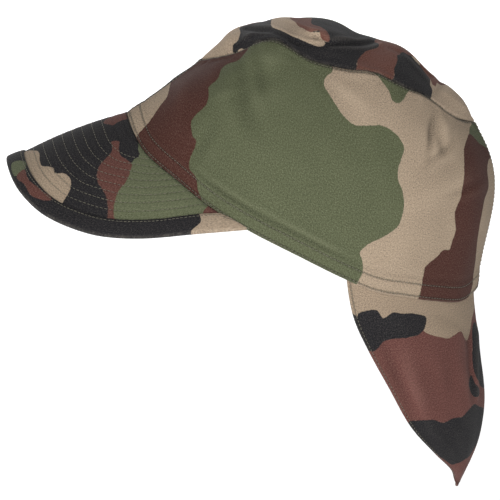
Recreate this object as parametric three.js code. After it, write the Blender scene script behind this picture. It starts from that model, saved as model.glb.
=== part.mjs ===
// A field cap of printed cotton, in the form that it has on a head: a crown of two side panels and a
// pointed oval top, a stiff quilted peak with a bound edge, and a neck flap that hangs inside the back hem.
// Millimetres. +Z is up, the peak points to -Y and the wearer's left is +X.
// The origin is the middle of the head opening.

import * as THREE from 'three';

// Thicknesses, and the small spaces that separate pieces keep (BOARD_GAP is round the peak inside its binding)
const CROWN_CLOTH = 1.8;
const PEAK_BOARD = 2.3;
const BINDING_CLOTH = 1.0;
const FLAP_CLOTH = 1.4;
const GAP = 0.35;
const BOARD_GAP = 0.5;

// Making sizes
const BINDING_WIDTH = 11;
const BINDING_NOSE = 1.4;
const HEM_SPACE = 1.25;
const PEAK_CAMBER = 0.03;
const FLAP_TUCK = 10;
const TIP_HALF_WIDTH = 1.5;

// Mesh steps: along a piece and across it
const SIDE_STEPS = { along: 33, across: 13 };
const TOP_STEPS = { along: 30, across: 12 };
const PEAK_STEPS = { along: 32, across: 6 };
const FLAP_STEPS = { along: 24, across: 15 };

// The crown, a row for each section from centre front to centre back: where the hem and the top seam are,
// how far the left seam puffs up above the right one, where the middle of the crown top is, how far the side
// panel swells out, and how high up it swells most (1 is half way, more is higher).
const CROWN = [
  {
    hemX: 0, hemY: -103, hemZ: 49.5, seamX: 0, seamY: -61, seamZ: 80.5,
    puff: 0, topY: -61, topZ: 80.5, swell: -0.4, lift: 1,
  },
  {
    hemX: 33, hemY: -93.5, hemZ: 34, seamX: 15, seamY: -49, seamZ: 85,
    puff: 0, topY: -51, topZ: 89.8, swell: 5.8, lift: 1,
  },
  {
    hemX: 55, hemY: -73.5, hemZ: 20, seamX: 27, seamY: -36.5, seamZ: 89,
    puff: 1.5, topY: -43, topZ: 95.7, swell: 12, lift: 1,
  },
  {
    hemX: 66, hemY: -56, hemZ: 7.5, seamX: 35, seamY: -27, seamZ: 91,
    puff: 6, topY: -31, topZ: 98.9, swell: 13, lift: 1,
  },
  {
    hemX: 74, hemY: -34, hemZ: -5, seamX: 41, seamY: -16.5, seamZ: 91.5,
    puff: 6.5, topY: -17, topZ: 100.9, swell: 13, lift: 1,
  },
  {
    hemX: 77.5, hemY: -5, hemZ: -19.4, seamX: 46, seamY: 0, seamZ: 87,
    puff: 1.5, topY: 0, topZ: 102.3, swell: 14, lift: 1,
  },
  {
    hemX: 77, hemY: 17, hemZ: -30.6, seamX: 50, seamY: 20, seamZ: 84,
    puff: 0, topY: 19, topZ: 98, swell: 14, lift: 1,
  },
  {
    hemX: 73, hemY: 37, hemZ: -40, seamX: 49, seamY: 37, seamZ: 81.5,
    puff: 0, topY: 38, topZ: 89.2, swell: 15, lift: 1.05,
  },
  {
    hemX: 65, hemY: 54, hemZ: -44.5, seamX: 45.5, seamY: 53, seamZ: 73,
    puff: 0, topY: 53, topZ: 84.9, swell: 15, lift: 1.15,
  },
  {
    hemX: 52, hemY: 70, hemZ: -49, seamX: 37, seamY: 66, seamZ: 66,
    puff: 0, topY: 68.4, topZ: 72, swell: 14.5, lift: 1.25,
  },
  {
    hemX: 31, hemY: 86, hemZ: -53, seamX: 23, seamY: 81.5, seamZ: 52,
    puff: 0, topY: 85.2, topZ: 59.6, swell: 13.5, lift: 1.35,
  },
  {
    hemX: 0, hemY: 95.2, hemZ: -50, seamX: 0, seamY: 93.4, seamZ: 44.8,
    puff: 0, topY: 93.4, topZ: 44.8, swell: 11, lift: 1.5,
  },
];

// The peak, a row for each line from the hem out to the bound edge, from the middle to the temple:
// the crown section that the line starts at and where it ends.
const PEAK = [
  { section: 0, edgeX: 0, edgeY: -172, edgeZ: 22.2 },
  { section: 0.5, edgeX: 36, edgeY: -166.4, edgeZ: 14.2 },
  { section: 0.92, edgeX: 54, edgeY: -153.3, edgeZ: 3.2 },
  { section: 1.38, edgeX: 64, edgeY: -136, edgeZ: -4.2 },
  { section: 1.88, edgeX: 69.5, edgeY: -117, edgeZ: -8.6 },
  { section: 2.5, edgeX: 73, edgeY: -93.5, edgeZ: -9.1 },
  { section: 3.15, edgeX: 75, edgeY: -66, edgeZ: -6.2 },
  { section: 3.75, edgeX: 76, edgeY: -46, edgeZ: -4.4 },
];

// The neck flap below the hem, a row for each level: its free edge on the wearer's left, its middle at the
// back, and how far round (degrees) the cloth has turned between the two.
const FLAP = [
  { edgeX: 73, edgeY: 24.7, edgeZ: -54, backY: 94.5, backZ: -73, turn: 78 },
  { edgeX: 71, edgeY: 32.7, edgeZ: -73, backY: 97.5, backZ: -91, turn: 76 },
  { edgeX: 66, edgeY: 45.2, edgeZ: -97, backY: 99.8, backZ: -112, turn: 74 },
  { edgeX: 58, edgeY: 57.2, edgeZ: -120, backY: 98, backZ: -132, turn: 70 },
  { edgeX: 44, edgeY: 70.3, edgeZ: -137, backY: 92.5, backZ: -148, turn: 64 },
  { edgeX: 26, edgeY: 80.5, edgeZ: -149.5, backY: 88, backZ: -157.5, turn: 58 },
  { edgeX: 9, edgeY: 83.5, edgeZ: -158, backY: 84.5, backZ: -163, turn: 55 },
];
const FLAP_FIRST_SECTION = 6.2;

// Folds and dents, a row each: the piece's side, where its middle is, which way it runs (degrees from
// level, rising to the back), its half length and half width, and its height (below 0 is a dent).
const FOLDS = [
  { side: 1, y: -30, z: 79, run: 10, long: 14, wide: 8, high: -3.2 },
  { side: 1, y: -38, z: 64, run: -60, long: 16, wide: 7, high: -1.8 },
  { side: 1, y: -18, z: 92, run: 0, long: 14, wide: 7, high: 2.2 },
  { side: 1, y: 72, z: 52, run: -65, long: 16, wide: 6, high: -2.4 },
  { side: 1, y: 84, z: 18, run: 20, long: 30, wide: 9, high: 1.6 },
  { side: -1, y: -26, z: 76, run: -15, long: 15, wide: 8, high: -2.6 },
  { side: -1, y: 70, z: 48, run: -60, long: 18, wide: 7, high: -2.2 },
  { side: -1, y: 80, z: 12, run: 12, long: 32, wide: 9, high: 2 },
  { side: -1, y: 92, z: 36, run: -60, long: 18, wide: 10, high: 3 },
  { side: 0, y: -24, z: 101, run: -8, long: 20, wide: 7, high: 1.6 },
  { side: 0, y: 27, z: 95, run: -25, long: 12, wide: 6, high: -2.2 },
  { side: 0, y: 45, z: 91, run: -10, long: 10, wide: 7, high: 1.4 },
];

const COLOURS = { cloth: 0x7d7a5c, peak: 0x4c4a44, binding: 0x3a3838, flap: 0x6b4d42 };

const LAST = CROWN.length - 1;

// A smooth value through four rows, Catmull and Rom's cubic.
function cubic(a, b, c, d, f) {
  const slopeIn = (c - a) / 2;
  const slopeOut = (d - b) / 2;
  const f2 = f * f;
  const f3 = f2 * f;
  return b * (2 * f3 - 3 * f2 + 1) + slopeIn * (f3 - 2 * f2 + f) + c * (3 * f2 - 2 * f3) + slopeOut * (f3 - f2);
}

// A column of a table at row number t. Past its start and end the table goes on as its mirror image ('even'),
// as its mirror image with the sign turned ('odd'), or straight on ('free').
function column(table, name, t, start, finish = start) {
  const last = table.length - 1;
  const value = (i) => {
    if (i >= 0 && i <= last) return table[i][name];
    const past = i < 0 ? start : finish;
    const end = i < 0 ? 0 : last;
    const inside = table[i < 0 ? -i : 2 * last - i][name];
    if (past === 'even') return inside;
    if (past === 'odd') return -inside;
    return 2 * table[end][name] - inside;
  };
  const i = Math.min(Math.floor(t), last - 1);
  return cubic(value(i - 1), value(i), value(i + 1), value(i + 2), t - i);
}

function hemPoint(t) {
  return new THREE.Vector3(
    column(CROWN, 'hemX', t, 'odd'), column(CROWN, 'hemY', t, 'even'), column(CROWN, 'hemZ', t, 'even'));
}

// The top seam, at the height that it has on one side: 1 is the wearer's left and -1 the right.
function seamPoint(t, side) {
  const puff = side > 0 ? column(CROWN, 'puff', t, 'even') : 0;
  return new THREE.Vector3(
    column(CROWN, 'seamX', t, 'free'),
    column(CROWN, 'seamY', t, 'free'),
    column(CROWN, 'seamZ', t, 'free') + puff);
}

// The outward normal of a surface(a, b) whose a and b both run over the given range.
function normalOf(surface, a, b, aRange, bRange) {
  const step = 1e-3;
  const a0 = Math.max(aRange[0], a - step);
  const a1 = Math.min(aRange[1], a + step);
  const b0 = Math.max(bRange[0], b - step);
  const b1 = Math.min(bRange[1], b + step);
  const along = surface(a1, b).sub(surface(a0, b));
  const across = surface(a, b1).sub(surface(a, b0));
  return along.cross(across).normalize();
}

// How far the folds of one side lift the cloth at a point.
function foldHeight(side, point) {
  let height = 0;
  for (const fold of FOLDS) {
    if (fold.side !== side) continue;
    const run = THREE.MathUtils.degToRad(fold.run);
    const dy = point.y - fold.y;
    const dz = point.z - fold.z;
    const along = (dy * Math.cos(run) + dz * Math.sin(run)) / fold.long;
    const over = (dz * Math.cos(run) - dy * Math.sin(run)) / fold.wide;
    height += fold.high * Math.exp(-along * along - over * over);
  }
  return height;
}

// A side panel as if it were on the wearer's left, t from centre front to centre back, v from the hem up to
// the top seam; and the same with its swell.
function flatSide(side, t, v) {
  return hemPoint(t).lerp(seamPoint(t, side), v);
}

function sideSurface(side, t, v) {
  const point = flatSide(side, t, v);
  const normal = normalOf((a, b) => flatSide(side, a, b), t, v, [0, LAST], [0, 1]);
  normal.x *= Math.min(1, 2 * t, 2 * (LAST - t));
  normal.normalize();
  const swell = column(CROWN, 'swell', t, 'even');
  const lift = column(CROWN, 'lift', t, 'even');
  return point.addScaledVector(normal, swell * Math.sin(Math.PI * v ** lift));
}

function sideNormal(side, t, v) {
  const normal = normalOf((a, b) => sideSurface(side, a, b), t, v, [0, LAST], [0, 1]);
  if (t === 0 || t === LAST) normal.x = 0;
  return normal.normalize();
}

// The crown top, t from front to back, q from the left seam (1) to the right seam (-1).
function topSurface(t, q) {
  const seam = seamPoint(t, q);
  const y = column(CROWN, 'topY', t, 'free');
  const z = column(CROWN, 'topZ', t, 'free');
  return new THREE.Vector3(seam.x * q, y + (seam.y - y) * q * q, z + (seam.z - z) * q * q);
}

function topNormal(t, q) {
  return normalOf(topSurface, t, q, [0, LAST], [-1, 1]).negate();
}

// The direction that a side panel and the crown top share along their seam, as if on the wearer's left.
function seamNormal(side, t) {
  const top = topNormal(t, side);
  top.x *= side;
  return sideNormal(side, t, 1).add(top).normalize();
}

// A closed solid from an outer and an inner grid of points.
function closedSheet(outer, inner) {
  const rows = outer.length;
  const width = outer[0].length;
  const points = [...outer.flat(), ...inner.flat()];
  const at = (layer, i, j) => layer * rows * width + i * width + j;
  const faces = [];
  const quad = (a, b, c, d) => faces.push(a, b, c, a, c, d);
  for (let i = 0; i < rows - 1; i++) {
    for (let j = 0; j < width - 1; j++) {
      quad(at(0, i, j), at(0, i + 1, j), at(0, i + 1, j + 1), at(0, i, j + 1));
      quad(at(1, i, j), at(1, i, j + 1), at(1, i + 1, j + 1), at(1, i + 1, j));
    }
    quad(at(1, i, 0), at(1, i + 1, 0), at(0, i + 1, 0), at(0, i, 0));
    quad(at(0, i, width - 1), at(0, i + 1, width - 1), at(1, i + 1, width - 1), at(1, i, width - 1));
  }
  for (let j = 0; j < width - 1; j++) {
    quad(at(0, 0, j), at(0, 0, j + 1), at(1, 0, j + 1), at(1, 0, j));
    quad(at(1, rows - 1, j), at(1, rows - 1, j + 1), at(0, rows - 1, j + 1), at(0, rows - 1, j));
  }
  return solid(points, faces);
}

// A closed solid from a row of closed sections, with flat ends.
function loft(sections, outline) {
  const size = sections[0].length;
  const points = sections.flat();
  const faces = [];
  for (let i = 0; i < sections.length - 1; i++) {
    for (let j = 0; j < size; j++) {
      const k = (j + 1) % size;
      const a = i * size;
      const b = a + size;
      faces.push(a + j, b + j, b + k, a + j, b + k, a + k);
    }
  }
  const end = (sections.length - 1) * size;
  for (const [a, b, c] of THREE.ShapeUtils.triangulateShape(outline, [])) {
    faces.push(a, b, c);
    faces.push(end + c, end + b, end + a);
  }
  return solid(points, faces);
}

// An indexed geometry whose faces point out, whichever way its surface ran.
function solid(points, faces) {
  let volume = 0;
  for (let i = 0; i < faces.length; i += 3) {
    const [a, b, c] = [points[faces[i]], points[faces[i + 1]], points[faces[i + 2]]];
    volume += a.dot(b.clone().cross(c));
  }
  if (volume < 0) faces.reverse();
  const geometry = new THREE.BufferGeometry();
  geometry.setAttribute('position', new THREE.Float32BufferAttribute(points.flatMap((p) => p.toArray()), 3));
  geometry.setIndex(faces);
  geometry.computeVertexNormals();
  return geometry;
}

// One side panel. The seam edge stops short of the crown top, and the whole panel short of its mirror image.
function sidePanel(side) {
  const outer = [];
  const inner = [];
  for (let i = 0; i <= SIDE_STEPS.along; i++) {
    const t = (LAST * i) / SIDE_STEPS.along;
    const vEnd = 1 - GAP / 2 / hemPoint(t).distanceTo(seamPoint(t, side));
    const outerRow = [];
    const innerRow = [];
    for (let j = 0; j <= SIDE_STEPS.across; j++) {
      const v = (vEnd * j) / SIDE_STEPS.across;
      const point = sideSurface(side, t, v);
      const normal = j === SIDE_STEPS.across ? seamNormal(side, t) : sideNormal(side, t, v);
      if (t === 0 || t === LAST) normal.setX(0).normalize();
      const edge = Math.sin(Math.PI * v) * Math.sin((Math.PI * t) / LAST);
      point.addScaledVector(normal, foldHeight(side, point) * Math.min(1, 3 * edge));
      point.x += GAP / 2;
      const out = point.clone().addScaledVector(normal, CROWN_CLOTH / 2);
      const into = point.addScaledVector(normal, -CROWN_CLOTH / 2);
      out.x *= side;
      into.x *= side;
      outerRow.push(out);
      innerRow.push(into);
    }
    outer.push(outerRow);
    inner.push(innerRow);
  }
  return closedSheet(outer, inner);
}

// The row numbers between which the crown top is wide enough to be made.
function topRange() {
  let first = 0;
  while (seamPoint(first, -1).x < TIP_HALF_WIDTH) first += 0.01;
  let last = LAST;
  while (seamPoint(last, -1).x < TIP_HALF_WIDTH) last -= 0.01;
  return [first, last];
}

function crownTop() {
  const outer = [];
  const inner = [];
  const [first, last] = topRange();
  for (let i = 0; i <= TOP_STEPS.along; i++) {
    const t = first + ((last - first) * i) / TOP_STEPS.along;
    const reach = 1 - (GAP * 0.6) / seamPoint(t, -1).x;
    const outerRow = [];
    const innerRow = [];
    for (let j = 0; j <= TOP_STEPS.across; j++) {
      const share = (2 * j) / TOP_STEPS.across - 1;
      const q = reach * share;
      const point = topSurface(t, q);
      const normal = topNormal(t, q);
      if (Math.abs(share) === 1) {
        normal.copy(seamNormal(share, t));
        normal.x *= share;
      }
      const edge = Math.cos((Math.PI * q) / 2) * Math.sin((Math.PI * (t - first)) / (last - first));
      point.addScaledVector(normal, foldHeight(0, point) * Math.min(1, 3 * edge));
      outerRow.push(point.clone().addScaledVector(normal, CROWN_CLOTH / 2));
      innerRow.push(point.addScaledVector(normal, -CROWN_CLOTH / 2));
    }
    outer.push(outerRow);
    inner.push(innerRow);
  }
  return closedSheet(outer, inner);
}

// The peak's line number w, from the wearer's left temple (its table's last row) through the middle (0) to
// the right temple: where the line leaves the hem, and where it ends at the bound edge.
function peakBase(w) {
  const base = hemPoint(column(PEAK, 'section', Math.abs(w), 'odd', 'free'));
  base.x *= Math.sign(w);
  return base;
}

function peakEdge(w) {
  const size = Math.abs(w);
  return new THREE.Vector3(
    Math.sign(w) * column(PEAK, 'edgeX', size, 'odd', 'free'),
    column(PEAK, 'edgeY', size, 'even', 'free'),
    column(PEAK, 'edgeZ', size, 'even', 'free'));
}

// A point of the peak, a distance in from the bound edge along line w.
function peakPoint(w, inward) {
  const edge = peakEdge(w);
  const line = peakBase(w).sub(edge);
  return edge.addScaledVector(line, inward / line.length());
}

function peakNormal(w) {
  const step = 1e-3;
  const limit = PEAK.length - 1;
  const ahead = Math.min(limit, w + step);
  const behind = Math.max(-limit, w - step);
  const along = peakEdge(ahead).sub(peakEdge(behind));
  const line = peakBase(w).sub(peakEdge(w));
  return along.cross(line).normalize();
}

// How far along line w a strip reaches that is BINDING_WIDTH wide, square to the bound edge.
function bindingReach(w) {
  const limit = PEAK.length - 1;
  const along = peakEdge(Math.min(limit, w + 0.01)).sub(peakEdge(Math.max(-limit, w - 0.01))).normalize();
  const line = peakBase(w).sub(peakEdge(w));
  const length = line.length();
  const slant = along.dot(line.normalize());
  return Math.min(BINDING_WIDTH / Math.sqrt(1 - slant * slant), length - HEM_SPACE);
}

// How far the peak arches up between its binding and the hem, at a distance in along line w.
function peakCamber(w, inward) {
  const reach = bindingReach(w);
  const span = peakBase(w).distanceTo(peakEdge(w)) - reach;
  const share = THREE.MathUtils.clamp((inward - reach) / span, 0, 1);
  return PEAK_CAMBER * span * Math.sin(Math.PI * share);
}

function peak() {
  const outer = [];
  const inner = [];
  const limit = PEAK.length - 1;
  const board = BINDING_NOSE + BOARD_GAP;
  for (let i = 0; i <= PEAK_STEPS.along; i++) {
    const w = limit - (2 * limit * i) / PEAK_STEPS.along;
    const normal = peakNormal(w);
    const length = peakBase(w).distanceTo(peakEdge(w)) - HEM_SPACE;
    const outerRow = [];
    const innerRow = [];
    for (let j = 0; j <= PEAK_STEPS.across; j++) {
      const inward = board + ((length - board) * j) / PEAK_STEPS.across;
      const point = peakPoint(w, inward).addScaledVector(normal, peakCamber(w, inward));
      outerRow.push(point.clone().addScaledVector(normal, PEAK_BOARD / 2));
      innerRow.push(point.addScaledVector(normal, -PEAK_BOARD / 2));
    }
    outer.push(outerRow);
    inner.push(innerRow);
  }
  return closedSheet(outer, inner);
}

// The binding's section, folded round the peak's edge: distance in from the edge as a share of the strip
// past the nose, and height above the middle of the peak.
function peakBinding() {
  const slot = PEAK_BOARD / 2 + BOARD_GAP;
  const face = slot + BINDING_CLOTH;
  const outline = [
    { lip: 1, nose: 0, high: face },
    { lip: 0, nose: BINDING_NOSE, high: face },
    { lip: 0, nose: 0.3 * BINDING_NOSE, high: 0.7 * face },
    { lip: 0, nose: 0, high: 0 },
    { lip: 0, nose: 0.3 * BINDING_NOSE, high: -0.7 * face },
    { lip: 0, nose: BINDING_NOSE, high: -face },
    { lip: 1, nose: 0, high: -face },
    { lip: 1, nose: 0, high: -slot },
    { lip: 0, nose: BINDING_NOSE, high: -slot },
    { lip: 0, nose: BINDING_NOSE, high: slot },
    { lip: 1, nose: 0, high: slot },
  ];
  const limit = PEAK.length - 1;
  const sections = [];
  for (let i = 0; i <= PEAK_STEPS.along; i++) {
    const w = limit - (2 * limit * i) / PEAK_STEPS.along;
    const normal = peakNormal(w);
    const reach = bindingReach(w);
    sections.push(outline.map(({ lip, nose, high }) =>
      peakPoint(w, lip ? reach : nose).addScaledVector(normal, high)));
  }
  const flat = outline.map(({ lip, nose, high }) => new THREE.Vector2(lip ? BINDING_WIDTH : nose, high));
  return loft(sections, flat);
}

// The flap's level b (0 at its sewn top edge), at a from the wearer's left free edge (1) to the right one (-1).
function flapLevel(level, a) {
  const side = Math.sign(a);
  const size = Math.abs(a);
  if (level < 2) {
    const t = LAST - (LAST - FLAP_FIRST_SECTION) * size;
    const v = level === 0 ? FLAP_TUCK / hemPoint(t).distanceTo(seamPoint(t, -1)) : 0;
    const inside = CROWN_CLOTH / 2 + GAP + FLAP_CLOTH / 2;
    const point = sideSurface(-1, t, v).addScaledVector(sideNormal(-1, t, v), -inside);
    point.x *= side;
    return point;
  }
  const row = FLAP[level - 2];
  const turn = THREE.MathUtils.degToRad(row.turn);
  const round = (1 - Math.cos(turn * size)) / (1 - Math.cos(turn));
  return new THREE.Vector3(
    (side * row.edgeX * Math.sin(turn * size)) / Math.sin(turn),
    row.backY + (row.edgeY - row.backY) * round,
    row.backZ + (row.edgeZ - row.backZ) * round);
}

function flapSurface(a, b) {
  const levels = FLAP.length + 1;
  const at = b * levels;
  const i = Math.min(Math.floor(at), levels - 1);
  const near = [i - 1, i, i + 1, i + 2].map((k) => Math.min(Math.max(k, 0), levels));
  const points = near.map((k) => flapLevel(k, a));
  const mix = (axis) => cubic(points[0][axis], points[1][axis], points[2][axis], points[3][axis], at - i);
  return new THREE.Vector3(mix('x'), mix('y'), mix('z'));
}

function neckFlap() {
  const outer = [];
  const inner = [];
  for (let i = 0; i <= FLAP_STEPS.along; i++) {
    const a = 1 - (2 * i) / FLAP_STEPS.along;
    const outerRow = [];
    const innerRow = [];
    for (let j = 0; j <= FLAP_STEPS.across; j++) {
      const b = j / FLAP_STEPS.across;
      const point = flapSurface(a, b);
      const normal = normalOf(flapSurface, a, b, [-1, 1], [0, 1]);
      outerRow.push(point.clone().addScaledVector(normal, FLAP_CLOTH / 2));
      innerRow.push(point.addScaledVector(normal, -FLAP_CLOTH / 2));
    }
    outer.push(outerRow);
    inner.push(innerRow);
  }
  return closedSheet(outer, inner);
}

function piece(name, geometry, colour, roughness) {
  const material = new THREE.MeshStandardMaterial({ color: colour, roughness, metalness: 0 });
  const mesh = new THREE.Mesh(geometry, material);
  mesh.name = name;
  return mesh;
}

const cap = new THREE.Group();
const crown = new THREE.Group();
const front = new THREE.Group();
crown.add(
  piece('side_panel_left', sidePanel(1), COLOURS.cloth, 0.9),
  piece('side_panel_right', sidePanel(-1), COLOURS.cloth, 0.9),
  piece('crown_top', crownTop(), COLOURS.cloth, 0.9));
front.add(
  piece('peak', peak(), COLOURS.peak, 0.85),
  piece('peak_binding', peakBinding(), COLOURS.binding, 0.85));
cap.add(crown, front, piece('neck_flap', neckFlap(), COLOURS.flap, 0.9));

export default cap;
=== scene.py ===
"""A field cap of printed cotton twill with a quilted peak and a neck flap, dressed over its CAD solids.

Sizes are in millimetres until a mesh is made. +Z is up, the peak points to -Y, the wearer's left is +X.
"""

import math

import bmesh
import bpy
import numpy as np
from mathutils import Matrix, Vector


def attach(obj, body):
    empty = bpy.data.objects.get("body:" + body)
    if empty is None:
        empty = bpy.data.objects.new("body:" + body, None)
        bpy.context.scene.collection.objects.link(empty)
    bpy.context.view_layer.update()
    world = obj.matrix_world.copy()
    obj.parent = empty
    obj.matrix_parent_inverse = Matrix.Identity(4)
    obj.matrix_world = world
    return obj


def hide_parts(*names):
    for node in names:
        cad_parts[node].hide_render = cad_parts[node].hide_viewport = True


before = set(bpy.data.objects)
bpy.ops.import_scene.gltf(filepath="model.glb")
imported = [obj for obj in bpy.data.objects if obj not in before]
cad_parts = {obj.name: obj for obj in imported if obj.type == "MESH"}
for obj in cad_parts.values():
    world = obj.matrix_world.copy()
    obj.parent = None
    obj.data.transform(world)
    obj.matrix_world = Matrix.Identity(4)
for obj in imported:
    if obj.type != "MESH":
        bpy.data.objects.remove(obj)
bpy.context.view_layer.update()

MM = 0.001
# A short step in a surface's parameters, to find its slope
NUDGE = 1e-3
# The distance that stands for nothing near
FAR = 60.0

# Cloth, as the CAD solids have it
CROWN_CLOTH = 1.8
PEAK_BOARD = 2.3
BINDING_CLOTH = 1.0
FLAP_CLOTH = 1.4
GAP = 0.35
BOARD_GAP = 0.5
BINDING_WIDTH = 11
BINDING_NOSE = 1.4
PEAK_TUCK = 0.4
PEAK_CAMBER = 0.03
FLAP_TUCK = 10

# Sewing, from the edge of the piece that it is sewn through
HEM_ROWS = (1.7, 8.8)
HEM_DEPTH = 10.5
SEAM_ROW = 1.6
BINDING_ROW = 1.5
QUILT_PITCH = 6.0
QUILT_ROWS = 8
FLAP_ROW = 2.1
FLAP_TURN = 3.4
CROWN_STITCH = 2.3
QUILT_STITCH = 2.7
THREAD_RADIUS = 0.155
STITCH_ARCH = 0.3
STITCH_SHARE = 0.74

# Distance between mesh points, and the lengths that each piece's points are spread over, along and across
FINE = 1.15
SIDE_MESH = (245, 118)
TOP_MESH = (205, 112)
PEAK_MESH = (400, 66)
FLAP_MESH = (232, 172)

# How many random heights a side of the square has that the cloth's unevenness is read from
LATTICE = 64
# Random waves of the cloth: height and spacing, a pair for each layer
SIDE_WAVES = ((0.55, 34), (0.22, 12))
TOP_WAVES = ((0.7, 26), (0.25, 11))
PUCKER_SPACING = 5.5

# Ridges and grooves beside an edge: height, distance from the edge and half width
SIDE_SEAM = ((0.4, 2.6, 1.7), (-0.75, 0, 0.8))
CENTRE_SEAM = ((0.25, 3, 2), (-0.6, 0, 0.8))
TOP_SEAM = ((0.15, 2.4, 1.6), (-0.75, 0, 0.8))
ABOVE_HEM = ((0.4, 15.6, 2.2), (-0.95, 12.0, 1.5))
FLAP_CREASE = ((1.5, 0.5, 1.3), (-1.2, -2.6, 2))

# A turned hem: its height, the half width of its step, its rows' grooves, and the ropes of cloth between them
HEM_HEIGHT = 0.35
HEM_STEP = 0.8
GROOVE_DEPTH = 0.28
GROOVE_WIDTH = 0.7
ROPE_HEIGHT = 0.17
ROPE_SPACING = 3.9

# The quilting's height over and under the peak, and the power that rounds it between its rows
QUILT_OVER = 0.24
QUILT_UNDER = 0.3
QUILT_POWER = 0.6

# The binding: how far its faces puff, its row's groove, its twisted ropes and its lumps
BINDING_PUFF = 0.3
BINDING_GROOVE = (0.25, BINDING_ROW, 0.6)
BINDING_ROPE_HEIGHT = 0.06
BINDING_ROPE_SPACING = 4.6
BINDING_LUMP_HEIGHT = 0.12
BINDING_LUMP_SPACING = 9

# The flap's half width on its flat measure, and how far its tip curls
FLAP_HALF_WIDTH = 115
TIP_CURL = (0, -0.6, -2.6)

# The camera's angle above level in degrees, then its distance, its view's width and middle in metres
EYE_LEVEL = 10
EYE_DISTANCE = 9.0
VIEW_WIDTH = 0.285
VIEW_MIDDLE = (0, -0.0336, -0.0289)

CROWN_COLUMNS = (
    "hem_x", "hem_y", "hem_z", "seam_x", "seam_y", "seam_z", "puff", "top_y", "top_z", "swell", "lift",
)
CROWN_ROWS = (
    (0, -103, 49.5, 0, -61, 80.5, 0, -61, 80.5, -0.4, 1),
    (33, -93.5, 34, 15, -49, 85, 0, -51, 89.8, 5.8, 1),
    (55, -73.5, 20, 27, -36.5, 89, 1.5, -43, 95.7, 12, 1),
    (66, -56, 7.5, 35, -27, 91, 6, -31, 98.9, 13, 1),
    (74, -34, -5, 41, -16.5, 91.5, 6.5, -17, 100.9, 13, 1),
    (77.5, -5, -19.4, 46, 0, 87, 1.5, 0, 102.3, 14, 1),
    (77, 17, -30.6, 50, 20, 84, 0, 19, 98, 14, 1),
    (73, 37, -40, 49, 37, 81.5, 0, 38, 89.2, 15, 1.05),
    (65, 54, -44.5, 45.5, 53, 73, 0, 53, 84.9, 15, 1.15),
    (52, 70, -49, 37, 66, 66, 0, 68.4, 72, 14.5, 1.25),
    (31, 86, -53, 23, 81.5, 52, 0, 85.2, 59.6, 13.5, 1.35),
    (0, 95.2, -50, 0, 93.4, 44.8, 0, 93.4, 44.8, 11, 1.5),
)
PEAK_COLUMNS = ("section", "edge_x", "edge_y", "edge_z")
PEAK_ROWS = (
    (0, 0, -172, 22.2),
    (0.5, 36, -166.4, 14.2),
    (0.92, 54, -153.3, 3.2),
    (1.38, 64, -136, -4.2),
    (1.88, 69.5, -117, -8.6),
    (2.5, 73, -93.5, -9.1),
    (3.15, 75, -66, -6.2),
    (3.75, 76, -46, -4.4),
)
# Where each end of the peak and its binding runs in under the crown's hem
TEMPLE_TUCK = (73.8, -27, -3.5)
TUCK_FROM = 6.2
FLAP_COLUMNS = ("edge_x", "edge_y", "edge_z", "back_y", "back_z", "turn")
FLAP_ROWS = (
    (73, 24.7, -54, 94.5, -73, 78),
    (71, 32.7, -73, 97.5, -91, 76),
    (66, 45.2, -97, 99.8, -112, 74),
    (58, 57.2, -120, 98, -132, 70),
    (44, 70.3, -137, 92.5, -148, 64),
    (26, 80.5, -149.5, 88, -157.5, 58),
    (9, 83.5, -158, 84.5, -163, 55),
)
FLAP_FIRST_SECTION = 6.2


def named_columns(names, rows):
    return dict(zip(names, np.array(rows, dtype=float).T))


CROWN = named_columns(CROWN_COLUMNS, CROWN_ROWS)
PEAK = named_columns(PEAK_COLUMNS, PEAK_ROWS)
FLAP = named_columns(FLAP_COLUMNS, FLAP_ROWS)
LAST = len(CROWN_ROWS) - 1
TEMPLE = len(PEAK_ROWS) - 1

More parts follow.
